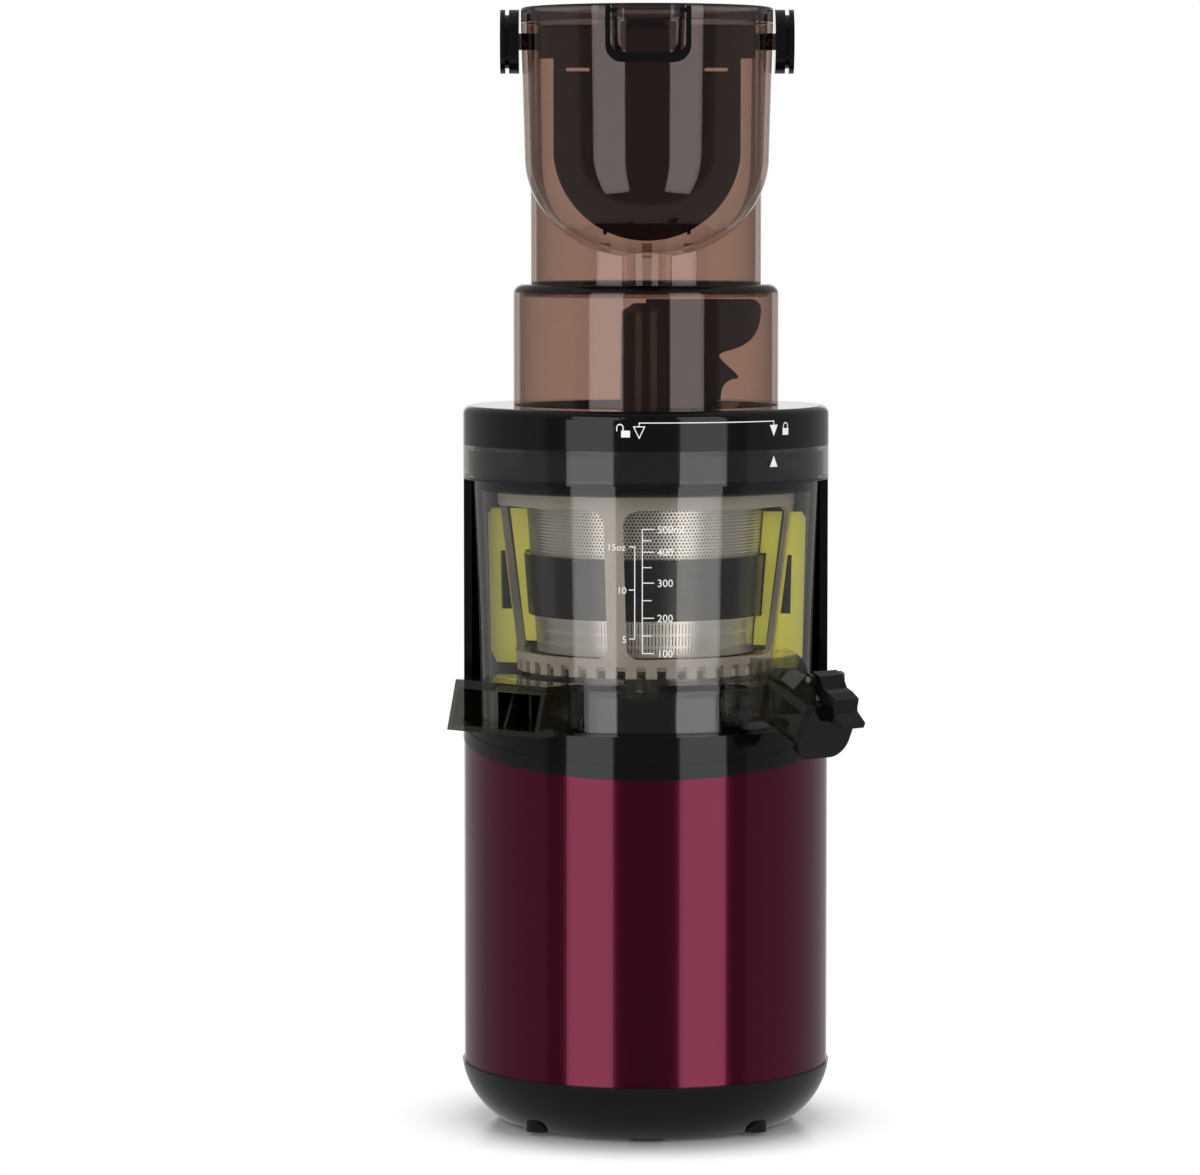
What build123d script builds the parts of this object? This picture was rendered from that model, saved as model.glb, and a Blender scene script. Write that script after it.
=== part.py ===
from build123d import *

import os
from math import acos, asin, cos, pi, radians, sin, sqrt, tan

os.makedirs("parts", exist_ok=True)

# A vertical cold press juicer in millimetres: origin on the drive axis at counter level,
# +Z up, the spouts towards -Y, +X to the right of someone standing in front of it.
# Heights build up from the counter: cover, shell, deck, bowl floor, bowl, lid, neck, hopper.

# ---------------------------------------------------------------- clearances
rest_gap = 0.3  # between curved faces of pieces that move past each other
pin_gap = 0.1  # a pin or screw in its bore, measured on the radius
thread_gap = 0.05
seal_gap = 0.15  # a running seal round its shaft
wall_gap = 0.1  # between thin walls that slide into each other
screw_gap = 0.05
lid_swing_gap = 1.2  # round the feed lid's back edge, which swells outwards as it opens
through = 200.0  # longer than anything that a through cut passes

# ---------------------------------------------------------------- motor base, outside
base_clearance = 2.0  # counter to the underside of the bottom cover
foot_radius = 8.0
foot_inset = 18.0
foot_sink = 1.0
foot_angles = (0, 90, 180, 270)  # and one more foot under the middle
base_radius = 89.0
base_wall = 2.6
shell_inner = base_radius - base_wall
cover_proud = 1.0
cover_radius = base_radius + cover_proud
cover_wall = 3.0
cover_height = 27.0
cover_top = base_clearance + cover_height
cover_foot_inset = 17.0
cover_floor_radius = cover_radius - cover_foot_inset
foot_circle = cover_floor_radius - foot_inset
cover_floor_top = base_clearance + cover_wall
cover_bulge_inset = 5.8
cover_bulge_height = 11.5
cover_bulge = (cover_radius - cover_bulge_inset, base_clearance + cover_bulge_height)
spigot_height = 8.0
spigot_wall = 5.7
shell_height = 159.8
rim_height = cover_top + shell_height  # the shell's sloping top edge where it crosses the axis
rim_slope = 8.2
rim_rise = base_radius * tan(radians(rim_slope))
trim_height = 7.0
trim_wall = 1.8
trim_proud = 0.4
trim_inner = base_radius + trim_proud - trim_wall
sleeve_depth = 24.0
deck_rise = 7.8
deck_height = rim_height + deck_rise
deck_thickness = 4.0
collar_lap = 1.5
backrest_wall = 3.9
backrest_inner = base_radius - backrest_wall
platform_height = 16.9
platform_wall = 3.0
platform_top = deck_height + platform_height

# ---------------------------------------------------------------- bowl
bowl_gap = 0.5  # bowl to backrest
bowl_wall = 2.6
bowl_shoulder_radius = backrest_inner - bowl_gap
bowl_foot_taper = 3.1
bowl_floor_taper = 2.8
bowl_middle_taper = 2.1
bowl_foot_radius = bowl_shoulder_radius - bowl_foot_taper
bowl_floor_radius = bowl_shoulder_radius - bowl_floor_taper
bowl_middle_radius = bowl_shoulder_radius - bowl_middle_taper
inner_floor = bowl_floor_radius - bowl_wall
inner_middle = bowl_middle_radius - bowl_wall
inner_shoulder = bowl_shoulder_radius - bowl_wall
platform_gap = 1.4
platform_radius = bowl_foot_radius - bowl_wall - platform_gap
floor_gap = 3.5
floor_thickness = 3.0
floor_under = platform_top + floor_gap
bowl_floor = floor_under + floor_thickness
bowl_depth = 90.2
bowl_bend = 32.0  # above the floor, where the wall's slope changes
bowl_middle = bowl_floor + bowl_bend
bowl_shoulder = bowl_floor + bowl_depth
flange_proud = 0.3
flange_radius = base_radius + flange_proud
flange_rise = 4.8
flange_height = 16.6
flange_wall = 2.4
flange_bottom = bowl_shoulder + flange_rise
flange_top = flange_bottom + flange_height
backrest_gap = 0.7
backrest_height = flange_bottom - backrest_gap
rim_tube_inset = 0.4
rim_tube_radius = bowl_shoulder_radius - rim_tube_inset
rim_tube_height = 9.4
rim_tube_top = flange_top + rim_tube_height
hub_radius = 15.5
hub_height = 16.0
hub_drop = 2.5
hub_top = bowl_floor + hub_height
hub_bore = 10.5
lug_angles = (30, 150, 270)
lug_width = 22.0
lug_reach = 1.9
lug_root = 0.5
lug_rise = 5.2
lug_height = 3.0
lid_lug_rise = 0.6
lid_lug_height = 4.0

# ---------------------------------------------------------------- spouts
juice_angle = -48.0
juice_slope = 24.0
juice_width = 26.0
juice_height = 23.0
juice_corner = 5.0
juice_wall = 2.4
juice_sink = 1.8
juice_rise = 1.5
juice_root = (bowl_floor_radius - juice_sink, bowl_floor + juice_rise)  # where its centre line starts
juice_length = 47.5
juice_nose = 17.0  # radius of the rounded swelling where the spout leaves the bowl
juice_nose_place = (2.0, -3.0)
juice_mouth_reach = 9.0  # how far the opening in the bowl's wall reaches along the spout
juice_mouth_low = 2.0
juice_mouth_high = 5.0
juice_mouth_rise = 9.0
cap_thickness = 4.0
cap_margin = 3.4
cap_pin_radius = 1.6
hinge_rise = 10.0
hinge_lift = juice_height / 2 + hinge_rise
hinge_back = -8.0
knuckle_half = 3.2
ear_offset = 9.5
ear_width = 3.0
ear_half = 2.6
cap_corner = 9.0
grip_step = 9.5  # outwards reach of the cap's grip, and of the lever that ends it
lever_reach = 18.0
lever_height = 11.0  # above the middle of the spout's mouth
lever_thickness = 2.6
plug_depth = 9.0
plug_gap = 0.6
plug_taper = 20.0
pulp_angle = -133.0
pulp_width = 60.0
pulp_wall = 2.6
pulp_gap = 0.6
pulp_bottom = deck_height + pulp_gap
pulp_roof = 1.0
pulp_top = bowl_floor + pulp_roof
pulp_overhang = 19.0
pulp_reach = base_radius + pulp_overhang
pulp_slant = 6.0
pulp_back = 4.0
pulp_rib = 1.6
pulp_rib_foot = 8.0  # how far the rib stays behind the chute's front edge
pulp_rib_head = 16.0
port_width = 27.0
port_wall = 2.0
port_height = 6.8

# ---------------------------------------------------------------- gears
pressure_angle = 20.0
addendum_share = 0.8
dedendum_share = 1.05
backlash = 0.16
brush_module = 3.0
sun_teeth = 16
idler_teeth = 12
brush_teeth = sun_teeth + 2 * idler_teeth
brush_gear_lift = 1.7
brush_gear_thickness = 3.5
brush_gear_bottom = bowl_floor + brush_gear_lift
brush_gear_top = brush_gear_bottom + brush_gear_thickness
gear_distance = brush_module * (sun_teeth + idler_teeth) / 2
idler_angles = (-43.0, 137.0)
idler_post = 4.0
idler_post_rise = 1.4
box_module = 1.25
pinion_teeth = 12
planet_teeth = 18
ring_teeth = pinion_teeth + 2 * planet_teeth
planet_angles = (0.0, 120.0, 240.0)
planet_pin = 3.0

# ---------------------------------------------------------------- auger and shaft
shaft_radius = 8.0
shaft_round_rise = 4.0
shaft_round_top = bowl_floor + shaft_round_rise
hex_across = 12.0
hex_gap = 0.15
hex_reach = 26.0
shaft_top = hub_top + hex_reach
auger_hub_radius = brush_module * (sun_teeth / 2 + addendum_share)
auger_hub_gap = 0.6
sleeve_radius = 11.0
sleeve_height = 28.0
auger_rest = 1.0  # the auger's ceiling above the bowl's hub

# ---------------------------------------------------------------- brush and strainer
brush_wall = 3.0
brush_foot_radius = brush_module * brush_teeth / 2 + brush_wall
brush_ring_gap = 9.5  # the brush's upper ring to the bowl's wall
brush_ring_radius = inner_shoulder - brush_ring_gap
brush_ring_width = 6.0
brush_ring_inner = brush_ring_radius - brush_ring_width
brush_ring_height = 7.5
notch_width = 4.7
notch_depth = 2.0
notch_rise = 2.0  # above the brush's gear teeth
brush_ring_top = bowl_shoulder
brush_ring_bottom = brush_ring_top - brush_ring_height
sill_height = 5.7
brush_sill = brush_gear_top + sill_height
bar_angles = (-103.0, -13.0, 77.0, 167.0)
bar_width = 9.5
window_corner = 6.0
wiper_angles = (-13.0, 167.0)
wiper_tip_gaps = (1.5, 2.8)  # to the bowl's wall at the wiper's foot and head
outer_wiper_tips = (inner_floor - wiper_tip_gaps[0], inner_shoulder - wiper_tip_gaps[1])
outer_wiper_thickness = 3.0
inner_wiper_thickness = 2.5
inner_wiper_gap = 0.6
wiper_margins = (3.1, 3.5)  # to the brush frame's sill and upper ring
wiper_bottom = brush_sill + wiper_margins[0]
wiper_top = brush_ring_bottom - wiper_margins[1]
outer_wiper_lift = 1.3  # above the underside of the brush
outer_wiper_bottom = brush_gear_bottom + outer_wiper_lift
outer_wiper_chamfer = (3.0, 6.0)  # at its foot, across and up
outer_wiper_round = (2.0, 3.0)  # at its head
slot_margins = (15.5, 21.0)
slot_bottom = wiper_bottom + slot_margins[0]
slot_top = wiper_top - slot_margins[1]
slot_inset = 1.0  # from the brush frame
slot_outset = 5.9  # from the wiper's tip
screen_wall = 0.8
strainer_plate = 4.0
strainer_lift = 1.8
strainer_bottom = brush_gear_top + strainer_lift
screen_bottom = strainer_bottom + strainer_plate
strainer_rim_height = 6.0
screen_top = brush_ring_top - strainer_rim_height
strainer_hole_gap = 1.0
strainer_hole = auger_hub_radius + strainer_hole_gap
screen_gaps = (10.0, 8.0)  # screen to brush frame at its foot and head
screen_foot_radius = brush_foot_radius - screen_gaps[0]
screen_head_radius = brush_ring_inner - screen_gaps[1]
band_lift = 17.8
band_drop = 25.9
band_bottom = screen_bottom + band_lift
band_top = screen_top - band_drop
band_proud = 3.0
strainer_rim_width = 2.0
strainer_rim_lap = 2.4
port_margins = (3.6, 9.0)  # to the strainer base's hole and edge
port_inner = strainer_hole + port_margins[0]
port_outer = screen_foot_radius - port_margins[1]
port_corner = 3.0

# ---------------------------------------------------------------- electronics on the bottom cover
board_size = (64.0, 44.0)
board_thickness = 1.6
board_lift = 8.0
board_post = 3.0
board_posts = (26.0, 16.0)
relay_low = (-24.0, -14.0)
relay_size = (18.0, 18.0, 10.4)
plug_low = (6.0, -18.0)
plug_size = (20.0, 10.0, 6.4)
capacitor_radius = 8.0
capacitor_height = 22.4
capacitor_place = (14.0, 8.0)
board_bottom = cover_floor_top + board_lift
board_top = board_bottom + board_thickness

# ---------------------------------------------------------------- motor and gearbox, hung from the deck
bolt_inset = 12.4
bolt_circle = shell_inner - bolt_inset
bolt_angles = (45, 135, 225, 315)
bolt_radius = 2.2
bolt_head = 4.5
bolt_head_height = 3.0
post_radius = 6.0
post_length = 20.6
gearbox_top = deck_height - deck_thickness - post_length
bolt_grip = 12.0
bolt_top = gearbox_top + bolt_grip
gearbox_radius = 38.0
gearbox_wall = 3.8
ring_outer = gearbox_radius - gearbox_wall
gearbox_floor = 3.0
gearbox_depth = 28.0
gearbox_bottom = gearbox_top - gearbox_depth
gearbox_flange_radius = bolt_circle + post_radius
gearbox_flange = 4.0
flange_under = gearbox_top - gearbox_flange
planet_lift = 5.0
planet_thickness = 10.0
planet_bottom = gearbox_bottom + planet_lift
planet_top = planet_bottom + planet_thickness
ring_gear_margin = 1.5
carrier_gap = 0.5
carrier_thickness = 4.0
carrier_radius = 25.0
output_bearing_radius = 13.0
output_bearing_height = 6.0
motor_radius = 55.0
motor_case_wall = 3.0
case_inner = motor_radius - motor_case_wall
fan_clearance = 9.0
shaft_tail = 16.0
motor_top = gearbox_bottom
motor_bottom = board_top + capacitor_height + fan_clearance + shaft_tail
end_plate = 4.0
vent_radius = 8.0
vent_count = 6
stator_inner = 31.0
stator_margins = (18.0, 20.0)  # room for the windings and bearings at each end
stator_bottom = motor_bottom + stator_margins[0]
stator_top = motor_top - stator_margins[1]
winding_height = 8.0
winding_inset = 4.5
air_gap = 1.0
rotor_radius = stator_inner - air_gap
rotor_overhang = 2.0
rotor_shaft_radius = 4.0
rotor_shaft_bottom = motor_bottom - shaft_tail
bearing_radius = 11.0
bearing_height = 6.0
bearing_wall = 4.0
fan_radius = 45.0
fan_height = 9.0
fan_hub = 9.0
fan_plate = 1.6
fan_blades = 9
fan_lift = 2.0
fan_pitch = 18.0  # degrees that a blade is turned from the radial

# ---------------------------------------------------------------- lid and hopper
lid_height = 18.9
lid_top = flange_top + lid_height
lid_wall = 2.8
lid_plate = 3.2
lid_edge = 4.0
plate_under = lid_top - lid_plate
seal_depth = 5.0
seal_lap = 0.6
magnet_width = 8.0
magnet_height = 6.0
magnet_depth = 1.4
magnet_rise = 4.0
magnet_skin = 0.9
neck_inset = 24.4
neck_radius = base_radius - neck_inset
neck_wall = 2.8
neck_inner = neck_radius - neck_wall
neck_height = 58.8
neck_top = lid_top + neck_height
neck_shoulder = 5.0
funnel_inset = 8.1
funnel_radius = brush_ring_inner - funnel_inset
funnel_gap = 1.5
funnel_bottom = brush_ring_top + funnel_gap
neck_flange_gap = 2.0
neck_flange_radius = inner_shoulder - neck_flange_gap
auger_foot_rise = 12.0
auger_foot = bowl_floor + auger_foot_rise
auger_head_gap = 7.3
auger_top = neck_top - auger_head_gap
auger_tip = 6.0  # how far the core stops below the auger's top
flight_pitch = 38.6
flight_thickness = 4.0
flight_start = 4.0
flight_bottom = auger_foot + flight_start
flight_step = 20.0  # degrees between the flight's sections
flight_root = 3.0
auger_screen_gaps = (1.4, 2.1)  # flight to screen at its foot and head
core_foot_gap = 7.0  # core to screen at the auger's foot
core_shoulder = (40.0, 30.0)  # radii and heights above the auger's foot
core_waist = (30.0, 68.0)
core_neck = (18.0, 104.0)
core_stem = (12.5, 120.0)
core_tip_radius = 12.0
core_tip_rise = 4.0
flight_end = 118.0  # above the auger's foot, where the flight runs out into the cutting fin
fin_thickness = 7.0
fin_foot = 56.0
fin_crest = (56.0, 5.0)  # radii and depths below the auger's top, down the fin's wavy edge
fin_trough = (36.4, 29.0)
fin_low_crest = (45.0, 38.0)
fin_low_trough = (36.4, 49.0)
auger_core = (
    (screen_foot_radius - core_foot_gap, auger_foot),
    *((radius, auger_foot + rise) for radius, rise in (core_shoulder, core_waist, core_neck, core_stem)),
    (core_tip_radius, auger_top - auger_tip),
)
flight_waist = (8.4, 98.0)  # gaps to the funnel's wall and heights above the auger's foot
flight_throat = (13.9, 126.0)
flight_head_gap = 5.8
auger_envelope = (
    (screen_foot_radius - screen_wall - auger_screen_gaps[0], auger_foot),
    (screen_head_radius - screen_wall - auger_screen_gaps[1], auger_foot + core_waist[1]),
    *((funnel_radius - gap, auger_foot + rise) for gap, rise in (flight_waist, flight_throat)),
    (neck_inner - flight_head_gap, auger_top),
)
hopper_wall = 2.6
tower_inset = 8.5
tower_radius = neck_radius - tower_inset
tower_lap = 6.0  # how far the tower reaches down into the neck
tower_lip = 3.6
hopper_height = 124.4
hopper_top = neck_top + hopper_height
bulge_offset = -42.0
bulge_spread = 4.1
bulge_flare = 1.8
bulge_top_radius = tower_radius + bulge_spread
bulge_radius = bulge_top_radius - bulge_flare
bulge_depth = 62.9
bulge_centre = hopper_top - bulge_depth
bulge_drop = 49.9  # from the centre down to the chamber's lowest point
bulge_bottom = bulge_centre - bulge_drop
bulge_front = bulge_offset - bulge_top_radius
boss_radius = 12.25
boss_lead = 10.0
boss_offset = bulge_offset - boss_lead
boss_height = 40.0
feed_lid_height = 7.3
feed_lid_plate = 3.0
feed_lid_edge = 1.2
feed_lid_bottom = hopper_top + rest_gap
feed_lid_top = feed_lid_bottom + feed_lid_height
lid_pin_radius = 2.0
lid_pin_gap = 4.9
lid_pin_offset = tower_radius + lid_pin_gap
lid_pin_length = 46.0
hinge_lift_off = 4.0
hinge_height = hopper_top + hinge_lift_off
hinge_wall = 3.0
hinge_ear = 20.0
hinge_ear_half = 3.0
hinge_knuckle_half = 16.6
pivot_drop = 8.5
pivot_height = hopper_top - pivot_drop
pivot_radius = 4.0
pivot_hub = 4.0
pivot_hub_length = 8.0
gate_side_gap = 11.2
gate_foot_gap = 7.0
gate_half_width = bulge_radius - hopper_wall - gate_side_gap
gate_bottom = bulge_bottom + hopper_wall + gate_foot_gap
gate_foot = bulge_centre  # where its sides end in an arch
gate_rise = 8.0
gate_plate = 3.0
gate_lip = 8.0
gate_lip_wall = 2.0
gate_ribs = (-20.0, 0.0, 20.0)
stop_half_width = 2.4
stop_half_depth = 14.0
stop_gap = 1.0
gate_rib_half = 0.9
gate_rib_depth = 4.0
gate_rib_low = 3.0
gate_rib_high = 32.0
gate_slot_place = 33.0
gate_slot_half = 5.5
gate_slot_drop = 14.0
gate_slot_height = 1.6
cap_disc_radius = 15.25
cap_step = 2.5
cap_inner_disc = 4.8
cap_outer_disc = 2.4
cap_gap = 0.7
cap_width = 9.0
cap_inner = bulge_top_radius + cap_gap
cap_outer = cap_inner + cap_width
cap_skin = 2.0
clip_half_width = 20.0
clip_bar = 2.4
clip_reach = 3.2
clip_depth = bulge_front - clip_reach
clip_drop = 20.0
clip_bottom = hopper_top - clip_drop
clip_foot = 4.5
clip_corner = 8.0
clip_head = 2.2
clip_stub = 1.2
clip_stub_length = 4.0
clip_ear_inset = 4.8
clip_ear = clip_half_width - clip_ear_inset
clip_ear_half = 1.7
clip_ear_lap = 0.6
clip_ear_step = 0.6
clip_ear_root = 8.0
catch_half_width = 13.0
catch_proud = 1.6

# ---------------------------------------------------------------- rear fittings
handle_lift = 18.4
handle_height = 70.0
handle_bottom = deck_height + handle_lift
handle_top = handle_bottom + handle_height
handle_depth = 33.0
handle_reach = base_radius + handle_depth
grip_lap = 8.0
handle_half_width = 11.0
handle_corner = 8.0
grip_depth = 12.0
grip_corner = 5.0
grip_edge = 4.0
lug_depth = 14.0
screw_radius = 1.6
screw_head = 3.1
screw_head_height = 1.8
screw_length = 14.0
screw_back = 3.4  # the screw head's face behind the housing's outer face
sensor_half = 4.0
sensor_height = 12.0
sensor_drop = 2.0
sensor_depth = 3.7
sensor_proud = 1.8
sensor_box_half = 8.0
sensor_box_margin = 2.0
gland_rise = 16.0
gland_height = base_clearance + gland_rise
gland_proud = 1.0
gland_face = cover_radius + gland_proud
gland_radius = 6.0
gland_flange = 3.0
gland_length = 20.0
gland_boss = 4.0
cord_bore = 3.6
switch_rise = 31.0
switch_height = cover_top + switch_rise
bezel_half = (13.0, 11.0)
bezel_proud = 1.8
switch_half = (11.0, 9.0)
switch_depth = 12.0
switch_fit = 0.2
rocker_half_width = 7.0
rocker_half_height = 7.5
rocker_gap = 0.4
rocker_swing = 1.1
rocker_sink = 10.0
rocker_inset = 1.0
rocker_pivot = base_radius - rocker_inset
rocker_pin = 1.5
rocker_back = 4.0
rocker_front = 3.8
rocker_waist = 2.2
screw_heights = (handle_bottom + lug_depth / 2, handle_top - lug_depth / 2)
shaft_seal_radius = 14.0
shaft_seal_height = 7.0
seal_flange = 1.0
juice_inside = (juice_width - 2 * juice_wall, juice_height - 2 * juice_wall)


def outline(*points):
    """A closed outline of straight runs in the XZ plane, for turning about the axis."""
    with BuildSketch(Plane.XZ) as section:
        with BuildLine():
            Polyline(*points, close=True)
        make_face()
    return section.sketch


def turn(*points, mode=Mode.ADD):
    """Turn an outline of (radius, height) points about the drive axis."""
    revolve(outline(*points), axis=Axis.Z, mode=mode)


def ring(inner, outer, bottom, top, mode=Mode.ADD):
    """A plain ring, or a disc when its inner radius is nothing."""
    turn((inner, bottom), (outer, bottom), (outer, top), (inner, top), mode=mode)


def post(radius, bottom, top, x=0.0, y=0.0, mode=Mode.ADD):
    """An upright cylinder from one height to another."""
    with Locations((x, y, bottom)):
        Cylinder(radius, top - bottom, align=(Align.CENTER, Align.CENTER, Align.MIN), mode=mode)


def block(low, high, mode=Mode.ADD):
    """A box between two corners."""
    with Locations(low):
        Box(*(b - a for a, b in zip(low, high)), align=(Align.MIN, Align.MIN, Align.MIN), mode=mode)


def bore(radius, depth):
    """A round hole from the present place, along its z."""
    Cylinder(radius, depth, align=(Align.CENTER, Align.CENTER, Align.MIN), mode=Mode.SUBTRACT)


def upright(angle, origin=(0, 0, 0)):
    """The upright plane through the axis at an angle: its x runs outwards, its y up."""
    outwards = Vector(cos(radians(angle)), sin(radians(angle)), 0)
    return Plane(origin=origin, x_dir=outwards, z_dir=outwards.cross(Vector(0, 0, 1)))


def at(radius, angle):
    """The plan position of a point at a radius and an angle."""
    return radius * cos(radians(angle)), radius * sin(radians(angle))


def between(z, low, high):
    """A radius on the straight line between two (radius, height) points."""
    return low[0] + (high[0] - low[0]) * (z - low[1]) / (high[1] - low[1])


def lug_ring(inner, outer, bottom, height, angle):
    """A short piece of a ring, as wide as a bayonet lug."""
    low = angle - lug_width / 2
    high = angle + lug_width / 2
    with BuildSketch(Plane.XY.offset(bottom)) as lug:
        with BuildLine():
            CenterArc((0, 0), inner, low, lug_width)
            CenterArc((0, 0), outer, low, lug_width)
            Line(at(inner, low), at(outer, low))
            Line(at(inner, high), at(outer, high))
        make_face()
    extrude(lug.sketch, amount=height)


def gear_outline(module, teeth, tip_radius, root_radius, play, phase=0.0):
    """A spur gear's outline with involute flanks, one tooth centred on the phase angle."""
    pitch = module * teeth / 2
    base = pitch * cos(radians(pressure_angle))
    at_pitch = tan(radians(pressure_angle)) - radians(pressure_angle)
    half_tooth = pi / (2 * teeth) - play / (2 * pitch)
    start = max(base, root_radius)
    flank = []
    for share in (0.0, 0.33, 0.67, 1.0):
        radius = start + (tip_radius - start) * share
        spread = acos(base / radius)
        flank.append((radius, half_tooth + at_pitch - (tan(spread) - spread)))
    if root_radius < base:
        flank.insert(0, (root_radius, flank[0][1]))
    points = []
    for tooth in range(teeth):
        middle = radians(phase) + 2 * pi * tooth / teeth
        points += [(r * cos(middle - a), r * sin(middle - a)) for r, a in flank]
        points += [(r * cos(middle + a), r * sin(middle + a)) for r, a in reversed(flank)]
    with BuildSketch() as section:
        with BuildLine():
            Polyline(*points, close=True)
        make_face()
    return section.sketch


def spur_gear(module, teeth, bottom, top, bore, phase=0.0, centre=(0.0, 0.0)):
    """A spur gear with a plain bore, standing at its centre."""
    pitch = module * teeth / 2
    face = gear_outline(
        module, teeth, pitch + addendum_share * module, pitch - dedendum_share * module, backlash, phase
    )
    with BuildPart() as gear:
        with BuildSketch(Plane.XY.offset(bottom)):
            with Locations(centre):
                add(face)
                Circle(bore, mode=Mode.SUBTRACT)
        extrude(amount=top - bottom)
    return gear


def tooth_space(module, teeth, reach, angle):
    """The opening of a ring gear that has one of its inward teeth at an angle."""
    pitch = module * teeth / 2
    return gear_outline(module, teeth, reach, pitch - addendum_share * module, -backlash, angle + 180 / teeth)


# ================================================================ motor base
rim_normal = (0, -sin(radians(rim_slope)), cos(radians(rim_slope)))
rim_plane = Plane(origin=(0, 0, rim_height), x_dir=(1, 0, 0), z_dir=rim_normal)
trim_plane = Plane(origin=(0, 0, rim_height + trim_height), x_dir=(1, 0, 0), z_dir=rim_normal)

foot_places = [(0.0, 0.0), *(at(foot_circle, angle) for angle in foot_angles)]

with BuildPart() as feet:
    for place in foot_places:
        post(foot_radius, 0, base_clearance + foot_sink, *place)

with BuildPart() as bottom_cover:
    with BuildSketch(Plane.XZ):
        with BuildLine():
            Line((0, base_clearance), (cover_floor_radius, base_clearance))
            ThreePointArc((cover_floor_radius, base_clearance), cover_bulge, (cover_radius, cover_top))
            Line((cover_radius, cover_top), (cover_radius - cover_wall, cover_top))
            ThreePointArc(
                (cover_radius - cover_wall, cover_top),
                (cover_bulge[0] - cover_wall, cover_bulge[1] + cover_wall),
                (cover_floor_radius - cover_wall, cover_floor_top),
            )
            Line((cover_floor_radius - cover_wall, cover_floor_top), (0, cover_floor_top))
            Line((0, cover_floor_top), (0, base_clearance))
        make_face()
    revolve(axis=Axis.Z)
    spigot_outer = shell_inner - rest_gap
    ring(spigot_outer - spigot_wall, spigot_outer, cover_top - cover_wall, cover_top + spigot_height)
    for angle in bolt_angles:
        post(post_radius, base_clearance, cover_top + spigot_height, *at(bolt_circle, angle))
    with Locations(Plane(origin=(0, gland_face, gland_height), z_dir=(0, -1, 0))):
        Cylinder(gland_radius + gland_boss, 2 * gland_radius, align=(Align.CENTER, Align.CENTER, Align.MIN))
        Cylinder(gland_radius + pin_gap, through / 4, mode=Mode.SUBTRACT)
    for x in (-board_posts[0], board_posts[0]):
        for y in (-board_posts[1], board_posts[1]):
            post(board_post, base_clearance, board_bottom, x, y)
    for place in foot_places:
        post(foot_radius, 0, base_clearance + foot_sink, *place, mode=Mode.SUBTRACT)
    for angle in bolt_angles:
        place = at(bolt_circle, angle)
        post(bolt_radius + pin_gap, 0, 2 * cover_top, *place, mode=Mode.SUBTRACT)
        post(bolt_head + pin_gap, 0, cover_floor_top + bolt_head_height, *place, mode=Mode.SUBTRACT)

with BuildPart() as base_shell:
    ring(shell_inner, base_radius, cover_top, rim_height + 2 * rim_rise)
    split(bisect_by=rim_plane, keep=Keep.BOTTOM)
    hole = [half + switch_fit for half in switch_half]
    block(
        (-hole[0], base_radius - switch_depth, switch_height - hole[1]),
        (hole[0], base_radius + bezel_proud, switch_height + hole[1]), mode=Mode.SUBTRACT,
    )

with BuildPart() as trim_ring:
    trim_reach = trim_height + 2 * rim_rise
    ring(trim_inner, base_radius + trim_proud, rim_height - trim_reach, rim_height + trim_reach)
    split(bisect_by=rim_plane, keep=Keep.TOP)
    split(bisect_by=trim_plane, keep=Keep.BOTTOM)


def housing_skin(outer, bottom, cut):
    """The housing's wall: a full collar up to the deck and the half round backrest above."""
    with BuildPart() as skin:
        ring(backrest_inner - collar_lap, outer, bottom, deck_height)
        with BuildSketch(Plane.XY.offset(bottom)):
            Circle(outer)
            Circle(backrest_inner, mode=Mode.SUBTRACT)
            with Locations((0, -base_radius)):
                Rectangle(4 * base_radius, 2 * base_radius, mode=Mode.SUBTRACT)
        extrude(amount=backrest_height - bottom)
        if cut:
            split(bisect_by=cut, keep=Keep.TOP)
    return skin.part


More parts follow.
